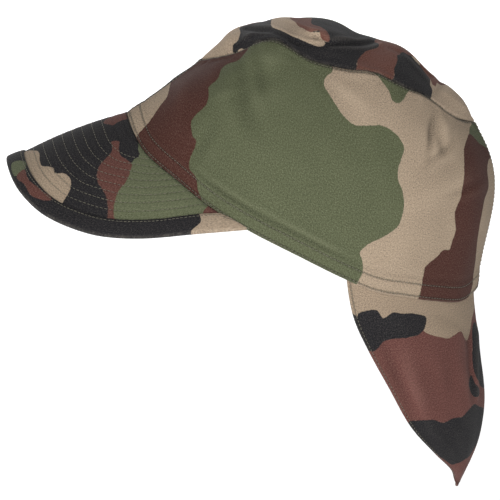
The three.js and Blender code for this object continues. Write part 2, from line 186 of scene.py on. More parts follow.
# Folds and dents: side (1 left, -1 right, 0 top, 2 and -2 the flap's left and right), middle y and z, run in
# degrees from level, half length, half width, height. The first twelve are the solid's own, three of them
# softer here. The rest are the cloth's finer ones.
FOLDS = (
    (1, -30, 79, 10, 14, 8, -2.2),
    (1, -38, 64, -60, 16, 7, -1.8),
    (1, -18, 92, 0, 14, 7, 1.1),
    (1, 72, 52, -65, 16, 6, -1.8),
    (1, 84, 18, 20, 30, 9, 1.6),
    (-1, -26, 76, -15, 15, 8, -2.6),
    (-1, 70, 48, -60, 18, 7, -2.2),
    (-1, 80, 12, 12, 32, 9, 2),
    (-1, 92, 36, -60, 18, 10, 3),
    (0, -24, 101, -8, 20, 7, 1.6),
    (0, 27, 95, -25, 12, 6, -2.2),
    (0, 45, 91, -10, 10, 7, 1.4),
    (1, -29, 83, -78, 10, 3.5, -0.7),
    (1, -21, 86, -85, 9, 4, 0.35),
    (1, -44, 72, 25, 12, 3, 0.6),
    (1, 8, 78, -40, 14, 5, -0.8),
    (1, 74, 46, -75, 12, 2.6, -0.9),
    (1, 80, 50, 40, 7, 2.6, 0.8),
    (1, 76, 34, -30, 8, 3.5, 0.7),
    (1, 88, 14, 10, 12, 3, -0.8),
    (-1, 20, 74, -35, 14, 4, -0.9),
    (-1, -50, 60, 50, 14, 4, 0.8),
    (0, -30, 97, 6, 16, 3, 1.1),
    (0, -10, 99, 25, 12, 3, -0.9),
    (0, 18, 96, -15, 16, 3, 1.2),
    (0, 58, 82, -30, 12, 4, 1.0),
    (0, -22, 93, -10, 22, 2.2, 1.3),
    (0, -19, 97, -12, 22, 2.2, -1.0),
    (0, 4, 98, -8, 24, 2.4, 1.2),
    (0, 6, 94, -10, 22, 2.4, -0.9),
    (0, 32, 90, -6, 16, 2.4, 1.2),
    (0, 72, 66, 20, 9, 2.4, -1.0),
    (1, 70, 50, -100, 13, 2.4, -2.2),
    (1, 76, 52, -80, 12, 2.6, 1.8),
    (1, 75, 36, 30, 8, 2.6, -1.4),
    (1, 20, 72, -35, 16, 4, 0.9),
    (1, -60, 42, 60, 16, 4, -0.8),
    (1, 97, 12, 20, 10, 5, 0.9),
    (1, 95, -20, 0, 12, 7, -0.8),
    (1, 10, -14, -28, 20, 4, 0.4),
    (1, -39, 78, -84, 15, 4.5, -1.3),
    (1, -94, 57, 45, 8, 13, -1.2),
    (-1, -94, 57, 45, 8, 13, -1.2),
    (1, -77, 71, 40, 7, 11, 1.9),
    (-1, -77, 71, 40, 7, 11, 1.9),
    (1, -47, 96, 40, 6, 8, 1.2),
    (-1, -47, 96, 40, 6, 8, 1.2),
    (0, -47, 96, 40, 6, 8, 1.2),
    (2, 49, -96, -71, 28, 5, -2.3),
    (2, 58, -92, -76, 26, 6, 1.5),
    (2, 80, -92, -88, 22, 5, -1.0),
    (-2, 62, -98, -80, 26, 6, -1.4),
    (-2, 78, -110, -84, 22, 6, 1.2),
)

# The crown top's fine creases as the eye sees them from the left: a line of points, half width and height
TOP_CREASES = (
    (((-40, 98), (-33, 97), (-21, 95), (-11, 91.5), (-1, 88.5), (9, 88)), 1.3, 1.1),
    (((-39, 88), (-31, 92), (-21, 92), (-13, 90)), 1.2, 0.8),
    (((-36, 95), (-24, 93.5), (-14, 90.5), (-6, 87)), 1.0, -0.8),
    (((-16, 100), (-6, 98), (1, 94), (8, 92)), 1.2, 0.8),
    (((0, 93), (12, 88.5), (23, 89.5), (35, 90.5), (45, 90)), 1.3, 1.1),
    (((3, 90), (13, 86.5), (24, 87.2), (36, 88)), 1.1, -0.9),
    (((12, 85), (23, 84.5), (32, 84.5), (40, 86)), 1.3, 0.9),
    (((10, 101), (24, 98), (40, 92.5)), 1.4, 0.8),
    (((53, 81), (60, 74), (67, 67)), 1.3, 1.0),
    (((45, 84.5), (57, 79.5), (69, 69.5)), 1.2, -0.8),
    (((72, 64), (80, 58), (88, 52)), 1.6, 0.35),
)


def folds(side, points):
    """How far the folds of one side lift the cloth at each point."""
    height = np.zeros(points.shape[:-1])
    for place, y, z, run, long, wide, high in FOLDS:
        if place != side:
            continue
        turn = math.radians(run)
        dy = points[..., 1] - y
        dz = points[..., 2] - z
        along = (dy * math.cos(turn) + dz * math.sin(turn)) / long
        over = (dz * math.cos(turn) - dy * math.sin(turn)) / wide
        height += high * np.exp(-along * along - over * over)
    return height


def cubic(a, b, c, d, f):
    """A smooth value through four rows, Catmull and Rom's cubic."""
    f2 = f * f
    f3 = f2 * f
    slopes = (c - a) / 2 * (f3 - 2 * f2 + f) + (d - b) / 2 * (f3 - f2)
    return b * (2 * f3 - 3 * f2 + 1) + c * (3 * f2 - 2 * f3) + slopes


def column(values, t, start, finish=None):
    """A table's column at row number t, past its ends mirrored (even, odd) or straight on (free)."""
    before = {"even": values[1], "odd": -values[1], "free": 2 * values[0] - values[1]}[start]
    after = {"even": values[-2], "odd": -values[-2], "free": 2 * values[-1] - values[-2]}[finish or start]
    longer = np.concatenate([[before], values, [after]])
    row = np.clip(np.floor(t).astype(int), 0, len(values) - 2)
    return cubic(longer[row], longer[row + 1], longer[row + 2], longer[row + 3], t - row)


def stacked(*parts):
    return np.stack(np.broadcast_arrays(*parts), axis=-1)


def length_of(vectors):
    return np.linalg.norm(vectors, axis=-1, keepdims=True)


def unit(vectors):
    return vectors / np.maximum(length_of(vectors), 1e-12)


def columns(table, t, names, start, finish=None):
    """Several columns of a table at row number t, side by side."""
    return stacked(*(column(table[name], t, end, finish) for name, end in zip(names, start)))


def hem_point(t):
    return columns(CROWN, t, ("hem_x", "hem_y", "hem_z"), ("odd", "even", "even"))


def seam_point(t, side):
    """The top seam; the left one puffs up above the right one."""
    point = columns(CROWN, t, ("seam_x", "seam_y", "seam_z"), ("free", "free", "free"))
    point[..., 2] += np.where(side > 0, column(CROWN["puff"], t, "even"), 0)
    return point


def normal_of(surface, a, b, a_range, b_range):
    """The outward normal of a surface(a, b)."""
    along = surface(np.minimum(a_range[1], a + NUDGE), b) - surface(np.maximum(a_range[0], a - NUDGE), b)
    across = surface(a, np.minimum(b_range[1], b + NUDGE)) - surface(a, np.maximum(b_range[0], b - NUDGE))
    return unit(np.cross(along, across))


def flat_side(side, t, v):
    hem = hem_point(t)
    return hem + (seam_point(t, side) - hem) * v[..., None]


def side_surface(side, t, v):
    """A side panel as if on the wearer's left: t from centre front to centre back, v from hem to seam."""
    normal = normal_of(lambda a, b: flat_side(side, a, b), t, v, (0, LAST), (0, 1))
    normal[..., 0] *= np.minimum(1, np.minimum(2 * t, 2 * (LAST - t)))
    swell = column(CROWN["swell"], t, "even") * np.sin(math.pi * v ** column(CROWN["lift"], t, "even"))
    return flat_side(side, t, v) + unit(normal) * swell[..., None]


def side_normal(side, t, v):
    normal = normal_of(lambda a, b: side_surface(side, a, b), t, v, (0, LAST), (0, 1))
    normal[..., 0] = np.where((t == 0) | (t == LAST), 0, normal[..., 0])
    return unit(normal)


def top_surface(t, q):
    """The crown top: t from front to back, q from the left seam (1) to the right seam (-1)."""
    seam = seam_point(t, q)
    y = column(CROWN["top_y"], t, "free")
    z = column(CROWN["top_z"], t, "free")
    return stacked(seam[..., 0] * q, y + (seam[..., 1] - y) * q * q, z + (seam[..., 2] - z) * q * q)


def top_normal(t, q):
    return -normal_of(top_surface, t, q, (0, LAST), (-1, 1))


def seam_normal(side, t):
    """The direction that a side panel and the crown top share along their seam, as if on the left."""
    top = top_normal(t, np.full_like(t, side))
    top[..., 0] *= side
    return unit(side_normal(side, t, np.ones_like(t)) + top)


def peak_base(w):
    base = hem_point(column(PEAK["section"], np.abs(w), "odd", "free"))
    base[..., 0] *= np.sign(w)
    return base


def peak_edge(w):
    edge = columns(PEAK, np.abs(w), ("edge_x", "edge_y", "edge_z"), ("odd", "even", "even"), "free")
    edge[..., 0] *= np.sign(w)
    return edge


def peak_lines(w):
    """For each line w: its outer end, its direction inward, its length, its normal, and how square it is."""
    edge = peak_edge(w)
    line = peak_base(w) - edge
    length = length_of(line)
    along = unit(peak_edge(np.minimum(TEMPLE, w + NUDGE)) - peak_edge(np.maximum(-TEMPLE, w - NUDGE)))
    inward = line / length
    slant = np.sum(along * inward, axis=-1)
    return edge, inward, length[..., 0], unit(np.cross(along, line)), np.sqrt(1 - slant * slant)


def flap_level(level, a):
    """The flap's level (0 at its sewn top edge), a from its left free edge (1) to its right one (-1)."""
    side = np.sign(a)
    size = np.abs(a)
    if level < 2:
        t = LAST - (LAST - FLAP_FIRST_SECTION) * size
        tall = length_of(hem_point(t) - seam_point(t, -1))[..., 0]
        v = FLAP_TUCK / tall if level == 0 else np.zeros_like(t)
        inside = CROWN_CLOTH / 2 + GAP + FLAP_CLOTH / 2
        point = side_surface(-1, t, v) - side_normal(-1, t, v) * inside
        point[..., 0] *= side
        return point
    row = {name: values[level - 2] for name, values in FLAP.items()}
    turn = math.radians(row["turn"])
    round_ = (1 - np.cos(turn * size)) / (1 - math.cos(turn))
    return stacked(
        side * row["edge_x"] * np.sin(turn * size) / math.sin(turn),
        row["back_y"] + (row["edge_y"] - row["back_y"]) * round_,
        row["back_z"] + (row["edge_z"] - row["back_z"]) * round_,
    )


def flap_surface(a, b):
    """The flap's middle: a from its left free edge (1) to its right one (-1), b from its top to its tip."""
    levels = len(FLAP_ROWS) + 1
    place = b * levels
    first = np.clip(np.floor(place).astype(int), 0, levels - 1)
    known = np.stack([flap_level(k, a) for k in range(levels + 1)])
    picks = [np.clip(first + k, 0, levels) for k in (-1, 0, 1, 2)]
    rows = [np.take_along_axis(known, pick[None, ..., None], axis=0)[0] for pick in picks]
    return cubic(*rows, (place - first)[..., None])


def steps(first, last, size):
    """Parameter values about FINE mm apart over a size in mm, closer together at both ends."""
    count = max(2, round(size / FINE))
    even = np.linspace(0, 1, count + 1)
    tight = np.array([0.25, 0.6]) / size
    share = np.concatenate([even[:1], tight, even[1:-1], 1 - tight[::-1], even[-1:]])
    return first + (last - first) * share


def arc(points, axis):
    """Distance run along an axis of a grid of points."""
    gaps = np.linalg.norm(np.diff(points, axis=axis), axis=-1)
    run = np.cumsum(gaps, axis=axis)
    shape = list(run.shape)
    shape[axis] = 1
    return np.concatenate([np.zeros(shape), run], axis=axis)


def from_both_ends(points, axis):
    """Distance run along an axis of a grid of points, from its first end and from its last."""
    run = arc(points, axis)
    return run, np.take(run, [-1], axis=axis) - run


def ripple(u, v, size, seed):
    """Smooth random unevenness from -1 to 1 over u and v in mm."""
    values = np.random.default_rng(seed).uniform(-1, 1, (LATTICE, LATTICE))
    x, y = u / size + 20, v / size + 20
    i, j = np.floor(x).astype(int), np.floor(y).astype(int)
    fx, fy = ramp(x - i, 0, 1), ramp(y - j, 0, 1)
    low, high = (
        values[i % LATTICE, k % LATTICE] * (1 - fx) + values[(i + 1) % LATTICE, k % LATTICE] * fx
        for k in (j, j + 1)
    )
    return low * (1 - fy) + high * fy


def bell(distance, width):
    return np.exp(-((distance / width) ** 2))


def ridges(distance, rows):
    """The ridges and grooves that lie at their own distances from an edge."""
    return sum(high * bell(distance - at, wide) for high, at, wide in rows)


def waves(u, v, layers, seed):
    """Layers of random unevenness, the next seed for each."""
    return sum(high * ripple(u, v, size, seed + k) for k, (high, size) in enumerate(layers))


def ramp(value, start, end):
    share = np.clip((value - start) / (end - start), 0, 1)
    return share * share * (3 - 2 * share)


def blurred(values, reach):
    """A grid's values averaged over a square of grid points round each."""
    for axis in (0, 1):
        places = np.arange(values.shape[axis])
        shifts = [np.clip(places + k, 0, places[-1]) for k in range(-reach, reach + 1)]
        values = np.mean([np.take(values, shift, axis=axis) for shift in shifts], axis=0)
    return values


def seen_from_left(points):
    """How far back and how far up the eye sees points, in mm."""
    rise = math.radians(EYE_LEVEL)
    return stacked(points[..., 1], points[..., 2] * math.cos(rise) - points[..., 0] * math.sin(rise))


def creases(points, lines):
    """The lift of fine creases that are given as the eye sees them."""
    seen = seen_from_left(points)
    lift = np.zeros(seen.shape[:-1])
    for line, wide, high in lines:
        nearest = np.full(lift.shape, np.inf)
        for start, end in zip(np.array(line[:-1], dtype=float), np.array(line[1:], dtype=float)):
            step = end - start
            share = np.clip((seen - start) @ step / (step @ step), 0, 1)
            nearest = np.minimum(nearest, length_of(seen - start - share[..., None] * step)[..., 0])
        lift += high * bell(nearest, wide)
    return lift


def hollow_of(relief):
    """How far in mm each place of a relief lies below its near and its wider surroundings, for painted shade
    and highlight.
    """
    return (blurred(relief, 3) - relief) + 0.3 * (blurred(relief, 9) - relief)


def hem_relief(run, depth, rows, turn, seed):
    """A turned hem: a double layer up to its turn, grooves at its rows, and ropes of cloth between them."""
    band = HEM_HEIGHT * (1 - ramp(depth, turn - HEM_STEP, turn + HEM_STEP))
    grooves = sum(-GROOVE_DEPTH * bell(depth - row, GROOVE_WIDTH) for row in rows)
    ropes = np.sin(2 * math.pi * (run + 0.7 * depth + 2 * ripple(run, depth, 15, seed + 1)) / ROPE_SPACING)
    ropes *= (0.6 + 0.4 * ripple(run, depth, 22, seed)) * (1 - ramp(depth, turn - 3, turn + 1))
    return band + grooves + ROPE_HEIGHT * ropes


# The print's outlines on the pieces' left, as the eye sees them from the side: mm back from the middle of
# the head opening and mm up, a row of points to each patch, later patches over earlier ones.
SEEN_SIDE = (
    ("tan", (
        (-79, 77), (-79, 68), (-80, 60), (-85, 53), (-92, 43), (-97, 35), (-103, 29), (-116, 40), (-105, 54),
        (-91, 66),
    )),
    ("brown", (
        (-79, 74), (-79, 68), (-80, 60), (-85, 53), (-92, 43), (-97, 35), (-99, 29), (-85, 11), (-68, -3),
        (-62, -4), (-63, 5), (-64, 13), (-68, 18), (-67, 25), (-64, 33), (-66, 37), (-67, 44), (-65, 48),
        (-59, 54), (-57, 59), (-57, 64), (-52, 68), (-50, 74), (-46, 77), (-39, 80), (-39, 89), (-62, 86),
    )),
    ("tan", (
        (14, 82), (14, 74), (9, 69), (9, 64), (12, 59), (15, 53), (19, 47), (25, 42), (32, 41), (39, 41),
        (44, 40), (50, 35), (53, 30), (53, 25), (50, 18), (50, 11), (52, 5), (53, -2), (52, -9), (49, -15),
        (41, -21), (34, -24), (29, -29), (29, -33), (30, -37), (29, -42), (27, -47), (25, -54), (63, -63),
        (62, -55), (64, -47), (65, -42), (67, -37), (72, -32), (76, -29), (80, -28), (82, -23), (83, -17),
        (83, -8), (86, 2), (88, 11), (88, 21), (88, 30), (91, 37), (92, 51), (75, 66), (52, 80),
    )),
    ("green", (
        (37, 77), (37, 72), (42, 67), (45, 62), (47, 57), (50, 56), (53, 57), (56, 62), (59, 68), (49, 80),
    )),
    ("brown", (
        (91, 37), (88, 30), (88, 21), (88, 11), (86, 2), (83, -8), (83, -17), (82, -23), (80, -28), (76, -29),
        (72, -32), (67, -37), (65, -42), (64, -47), (62, -55), (62, -63), (92, -63), (104, -40), (106, -10),
        (108, 6), (108, 18), (104, 27), (97, 32),
    )),
    ("tan", (
        (101, 18), (102, 7), (100, 0), (98, -9), (97, -17), (95, -29), (94, -40), (92, -52), (88, -62),
        (96, -62), (102, -38), (106, -10), (108, 6), (107, 22),
    )),
)
SEEN_TOP = (
    ("black", (
        (-38, 99), (-39, 95), (-40, 91), (-43, 88), (-43, 84), (-41, 84), (-39, 86), (-37, 86), (-35, 84),
        (-33, 78), (-26, 74), (-11, 64), (2, 60), (29, 53), (28, 75), (28, 79), (30, 82), (35, 84),
        (39, 86), (39, 89), (38, 92), (33, 98), (19, 104), (1, 108), (-22, 106),
    )),
    ("tan", (
        (-21, 103), (-21, 99), (-18, 97), (-14, 95), (-7, 92), (-3, 90), (2, 88), (6, 87), (9, 89), (7, 92),
        (6, 95), (1, 96), (-3, 97), (-6, 100), (-9, 106), (-17, 107),
    )),
    ("brown", (
        (-9, 106), (-6, 100), (-3, 97), (1, 96), (5, 96), (6, 93), (9, 90), (11, 91), (10, 95), (6, 98),
        (2, 100), (1, 104), (-1, 107),
    )),
    ("brown", (
        (27, 74), (28, 79), (30, 82), (33, 84), (38, 86), (40, 88), (38, 91), (43, 93), (55, 91), (59, 82),
        (55, 83), (52, 84), (50, 81), (49, 76), (48, 67), (48, 56), (37, 53), (25, 55),
    )),
    ("black", (
        (50, 82), (54, 83), (58, 81), (63, 76), (68, 70), (68, 66), (70, 62), (69, 58), (61, 53), (54, 52),
        (46, 56), (48, 70), (48, 74), (50, 79),
    )),
    ("brown", ((68, 71), (71, 73), (76, 70), (77, 66), (73, 67), (71, 65), (70, 67))),
)
SEEN_PEAK = (
    ("tan", (
        (-168, 28), (-157, 28), (-154, 26), (-153, 22), (-152, 19), (-148, 19), (-145, 18), (-144, 15),
        (-140, 15), (-137, 13), (-135, 10), (-136, 6), (-138, 2), (-142, -4), (-150, -3), (-159, 4),
        (-166, 14), (-169, 23),
    )),
    ("green", (
        (-101, 20), (-102, 16), (-104, 11), (-108, 6), (-110, 0), (-111, -6), (-111, -13), (-85, -14),
        (-60, -14), (-60, -9), (-59, -6), (-52, -1), (-46, 5), (-66, 26), (-88, 37), (-96, 26), (-99, 23),
    )),
    ("brown", (
        (-112, 33), (-108, 33), (-108, 29), (-107, 25), (-104, 23), (-101, 20), (-102, 16), (-104, 11),
        (-108, 6), (-110, 0), (-111, -6), (-111, -13), (-114, -13), (-114, -7), (-114, -3), (-115, 2),
        (-117, 7), (-119, 11), (-120, 15), (-119, 19), (-116, 23), (-112, 27), (-112, 30),
    )),
    ("brown", ((-60, -9), (-59, -6), (-56, -3), (-54, -1), (-47, -6), (-50, -9), (-60, -13))),
    ("brown", (
        (-117, 44), (-113, 43), (-112, 42), (-109, 44), (-105, 46), (-102, 47), (-103, 51), (-111, 48),
    )),
)
SEEN_BINDING = (
    ("green", ((-169, 21), (-162, 22), (-161, 18), (-165, 15), (-168, 14))),
    ("brown", (
        (-166, 13), (-162, 17), (-159, 11), (-153, 6), (-146, 1), (-149, 0), (-156, 2), (-159, 5), (-161, 9),
    )),
)
SEEN_FLAP = (
    ("tan", (
        (18, -40), (21, -66), (25, -74), (40, -76), (55, -74), (63, -73), (66, -75), (69, -76), (75, -78),
        (80, -78), (86, -75), (88, -78), (90, -80), (92, -74), (93, -68), (96, -57), (96, -46),
    )),
    ("black", (
        (23, -64), (27, -66), (29, -64), (34, -63), (38, -63), (40, -64), (42, -67), (44, -66), (48, -64),
        (52, -65), (58, -65), (63, -65), (66, -67), (65, -72), (62, -76), (56, -78), (48, -78), (43, -80),
        (39, -84), (35, -86), (30, -83), (23, -71),
    )),
    ("black", (
        (56, -128), (62, -125), (70, -125), (76, -127), (82, -124), (87, -123), (91, -119), (95, -117),
        (100, -119), (99, -131), (95, -141), (91, -146), (84, -150), (80, -150), (69, -141),
    )),
    ("black", (
        (93, -72), (95, -70), (98, -80), (100, -97), (101, -106), (97, -104), (95, -100), (93, -91),
        (93, -83),
    )),
    ("black", (
        (92, -100), (93, -101), (95, -105), (97, -109), (96, -112), (93, -111), (91, -106), (91, -103),
    )),
)

# The print where the eye doesn't reach: general woodland patches, drawn a unit long, and placed on each
# piece's own flat measure: colour, outline, mm along, mm across, turn in degrees, size in mm.
PATCHES = {
    "cloud": (
        (-0.5, -0.1), (-0.38, 0.22), (-0.2, 0.3), (-0.08, 0.46), (0.14, 0.4), (0.24, 0.24), (0.44, 0.22),
        (0.5, 0), (0.34, -0.16), (0.3, -0.34), (0.06, -0.3), (-0.08, -0.44), (-0.3, -0.36), (-0.36, -0.2),
    ),
    "band": (
        (-0.5, -0.12), (-0.3, 0.04), (-0.34, 0.2), (-0.1, 0.26), (0.06, 0.14), (0.24, 0.3), (0.46, 0.26),
        (0.5, 0.08), (0.34, 0), (0.22, -0.16), (0, -0.12), (-0.14, -0.26), (-0.36, -0.28),
    ),
    "horn": (
        (-0.5, -0.06), (-0.42, 0.1), (-0.24, 0.16), (-0.04, 0.1), (0.12, 0.16), (0.26, 0.3), (0.42, 0.34),
        (0.5, 0.22), (0.4, 0.08), (0.26, 0), (0.16, -0.12), (0, -0.2), (-0.2, -0.14), (-0.36, -0.2),
    ),
}
HIDDEN_SIDE_RIGHT = (
    ("green", "band", 74, 74, 10, 130),
    ("brown", "cloud", 36, 22, 30, 96),
    ("black", "cloud", 4, 34, 70, 50),
    ("brown", "cloud", 142, 44, 100, 104),
    ("black", "band", 104, 14, 5, 84),
    ("black", "horn", 150, 96, -30, 74),
    ("green", "band", 196, 36, 75, 108),
    ("green", "cloud", 214, 104, 60, 44),
    ("black", "horn", 224, 62, 95, 46),
)
HIDDEN_TOP = (
    ("black", "band", 84, -4, 0, 96),
    ("brown", "cloud", 40, -26, 20, 40),
    ("green", "band", 96, -34, 10, 84),
    ("brown", "band", 150, -10, -20, 58),
    ("green", "horn", 186, -14, 30, 44),
)
HIDDEN_PEAK = (
    ("green", "band", -120, 34, -20, 86),
    ("brown", "cloud", -66, 44, 10, 52),
    ("tan", "horn", -40, 22, 12, 58),
    ("green", "horn", -22, 52, -40, 36),
    ("brown", "horn", -160, 26, 70, 46),
)
HIDDEN_BINDING = (
    ("green", "band", -60, 4, 0, 46),
    ("brown", "band", -118, 5, 0, 40),
    ("tan", "cloud", -184, 6, 0, 30),
)
BINDING_END = ("tan", ((156, -30), (155, 0), (156, 7), (158, 30), (330, 30), (330, -30)))
HIDDEN_FLAP = (
    ("tan", "band", -44, 24, 5, 120),
    ("green", "cloud", -60, 62, 40, 64),
    ("black", "band", -16, 66, 80, 60),
    ("black", "horn", -70, 20, -10, 60),
    ("tan", "horn", -24, 118, -60, 46),
)
COLOURS = ("tan", "green", "brown", "black")
LINES = ("row", "second_row", "worn", "seam")


def rounded_outline(outline):
    """A closed outline with its corners rounded off, five points to each given one."""
    points = np.array(outline, dtype=float)
    before = np.roll(points, 1, axis=0)
    after = np.roll(points, -1, axis=0)
    beyond = np.roll(points, -2, axis=0)
    parts = [cubic(before, points, after, beyond, f) for f in np.linspace(0, 1, 6)[:-1]]
    return np.stack(parts, axis=1).reshape(-1, 2)


def depth_inside(places, outline):
    """How far in mm each place lies inside an outline; below 0 outside it."""
    start = rounded_outline(outline)
    end = np.roll(start, -1, axis=0)
    nearest = np.full(len(places), np.inf)
    inside = np.zeros(len(places), dtype=bool)
    for (ax, ay), (bx, by) in zip(start, end):
        dx = bx - ax
        dy = by - ay
        px = places[:, 0] - ax
        py = places[:, 1] - ay
        share = np.clip((px * dx + py * dy) / max(dx * dx + dy * dy, 1e-9), 0, 1)
        nearest = np.minimum(nearest, (px - share * dx) ** 2 + (py - share * dy) ** 2)
        crosses = (ay > places[:, 1]) != (by > places[:, 1])
        reach = ax + dx * (places[:, 1] - ay) / (dy if dy else 1e-9)
        inside ^= crosses & (places[:, 0] < reach)
    return np.where(inside, 1, -1) * np.sqrt(nearest)


def placed_patch(name, along, across, turn, size):
    angle = math.radians(turn)
    shape = np.array(PATCHES[name]) * size
    x = shape[:, 0] * math.cos(angle) - shape[:, 1] * math.sin(angle) + along
    y = shape[:, 0] * math.sin(angle) + shape[:, 1] * math.cos(angle) + across
    return np.stack([x, y], axis=1)


def carried(patches, outer, normals, flat):
    """Outlines as the eye sees them from the left, carried onto the piece's own flat measure."""
    rise = math.radians(EYE_LEVEL)
    points = outer.reshape(-1, 3)
    places = flat.reshape(-1, 2)
    facing = normals.reshape(-1, 3) @ np.array([math.cos(rise), 0, math.sin(rise)])
    seen = seen_from_left(points)
    turned_away = np.where(facing < 0.03, 1e4, 0)
    found = []
    for colour, outline in patches:
        costs = [np.sum((seen - np.array(place)) ** 2, axis=1) + turned_away for place in outline]
        nearest = np.array([places[np.argmin(cost)] for cost in costs])
        missed = np.sqrt([[cost.min()] for cost in costs])
        found.append((colour, nearest + unit(nearest - nearest.mean(axis=0)) * np.minimum(missed, 20)))
    return found


def print_depths(places, base, patches):
    """How deep each place lies in each colour of the print, in mm."""
    depth = {colour: np.full(len(places), -FAR) for colour in COLOURS}
    depth[base] = np.full(len(places), FAR)
    for painted, outline in patches:
        inside = np.clip(depth_inside(places, outline), -FAR, FAR)
        for colour in COLOURS:
            if colour == painted:
                depth[colour] = np.maximum(depth[colour], inside)
            else:
                depth[colour] = np.minimum(depth[colour], -inside)
    return depth


def cloth_fields(flat, base, seen, hidden, hollow, **lines):
    """What the material reads at each mesh point, in mm: the print, the hollows for painted shade and
    highlight, how far its lines are.
    """
    patches = [(colour, placed_patch(*where)) for colour, *where in hidden] + list(seen)
    depth = print_depths(flat.reshape(-1, 2), base, patches)
    fields = {colour: depth[colour].reshape(hollow.shape) for colour in COLOURS[1:]}
    fields["hollow"] = hollow
    for key in LINES:
        fields[key] = lines.get(key, np.full(hollow.shape, FAR))
    return fields


def in_scene(name, data):
    """An object of some data, in the scene."""
    made = bpy.data.objects.new(name, data)
    bpy.context.scene.collection.objects.link(made)
    return made


def build_mesh(name, points, faces, fields, flat):
    """A mesh of points in mm with a value of each field and a flat measure in mm at every point."""
    a, b, c = (points[faces[:, k]] for k in (0, 1, 2))
    if np.sum(a * np.cross(b, c)) < 0:
        faces = faces[:, ::-1]
    mesh = bpy.data.meshes.new(name)
    mesh.from_pydata((points * MM).tolist(), [], faces.tolist())
    for key, values in fields.items():
        mesh.attributes.new(key, "FLOAT", "POINT").data.foreach_set("value", values.astype(np.float32))
    uv = mesh.uv_layers.new(name="cloth")
    corners = np.empty(len(mesh.loops), dtype=np.int32)
    mesh.loops.foreach_get("vertex_index", corners)
    uv.data.foreach_set("uv", (flat[corners] * MM).astype(np.float32).ravel())
    mesh.polygons.foreach_set("use_smooth", np.ones(len(mesh.polygons), dtype=bool))
    mesh.update()
    return in_scene(name, mesh)


def quads(a, b, c, d):
    """Faces from four grids of point numbers."""
    return np.stack([a.ravel(), b.ravel(), c.ravel(), d.ravel()], axis=1)


def closed_cloth(name, outer, inner, fields, flat):
    """A sheet of cloth from its outer and inner grid of points, closed round its rim."""
    rows, width = outer.shape[:2]
    count = rows * width
    index = np.arange(count).reshape(rows, width)
    i0, i1, j0, j1 = index[:-1, :-1], index[1:, :-1], index[:-1, 1:], index[1:, 1:]
    faces = [quads(i0, i1, j1, j0), quads(i0 + count, j0 + count, j1 + count, i1 + count)]
    for rim in (index[:, 0], index[-1, :], index[::-1, -1], index[0, ::-1]):
        faces.append(quads(rim[:-1], rim[:-1] + count, rim[1:] + count, rim[1:]))
    points = np.concatenate([outer.reshape(-1, 3), inner.reshape(-1, 3)])
    doubled = {key: np.concatenate([values.ravel()] * 2) for key, values in fields.items()}
    doubled["reverse"] = np.concatenate([np.zeros(count), np.ones(count)])
    return build_mesh(name, points, np.concatenate(faces), doubled, np.concatenate([flat.reshape(-1, 2)] * 2))


def rounding(distance, half):
    """The share of its half thickness that cloth keeps near a folded edge."""
    near = np.clip(distance / half, 0.02, 1)
    return np.sqrt(1 - (1 - near) ** 2)


stitch_rows = {"crown": [], "peak": [], "flap": []}


def sew(group, grid, normals, distance, wanted, pitch=CROWN_STITCH, crosswise=False):
    """Remember a row of stitches over a grid, where the distance along its second axis is the wanted one.

    If it is crosswise, the distance runs along the first axis.
    """
    lines = np.concatenate([grid, normals, distance[..., None]], axis=-1)
    if crosswise:
        lines = np.swapaxes(lines, 0, 1)
    middle = lines[len(lines) // 2]
    if middle[0, -1] > middle[-1, -1]:
        lines = lines[:, ::-1]
    found = np.array([
        [np.interp(wanted, line[:, -1], line[:, k]) for k in range(6)]
        for line in lines if wanted <= line[-1, -1]
    ])
    if len(found) > 3:
        stitch_rows[group].append((found[:, :3], unit(found[:, 3:]), pitch))


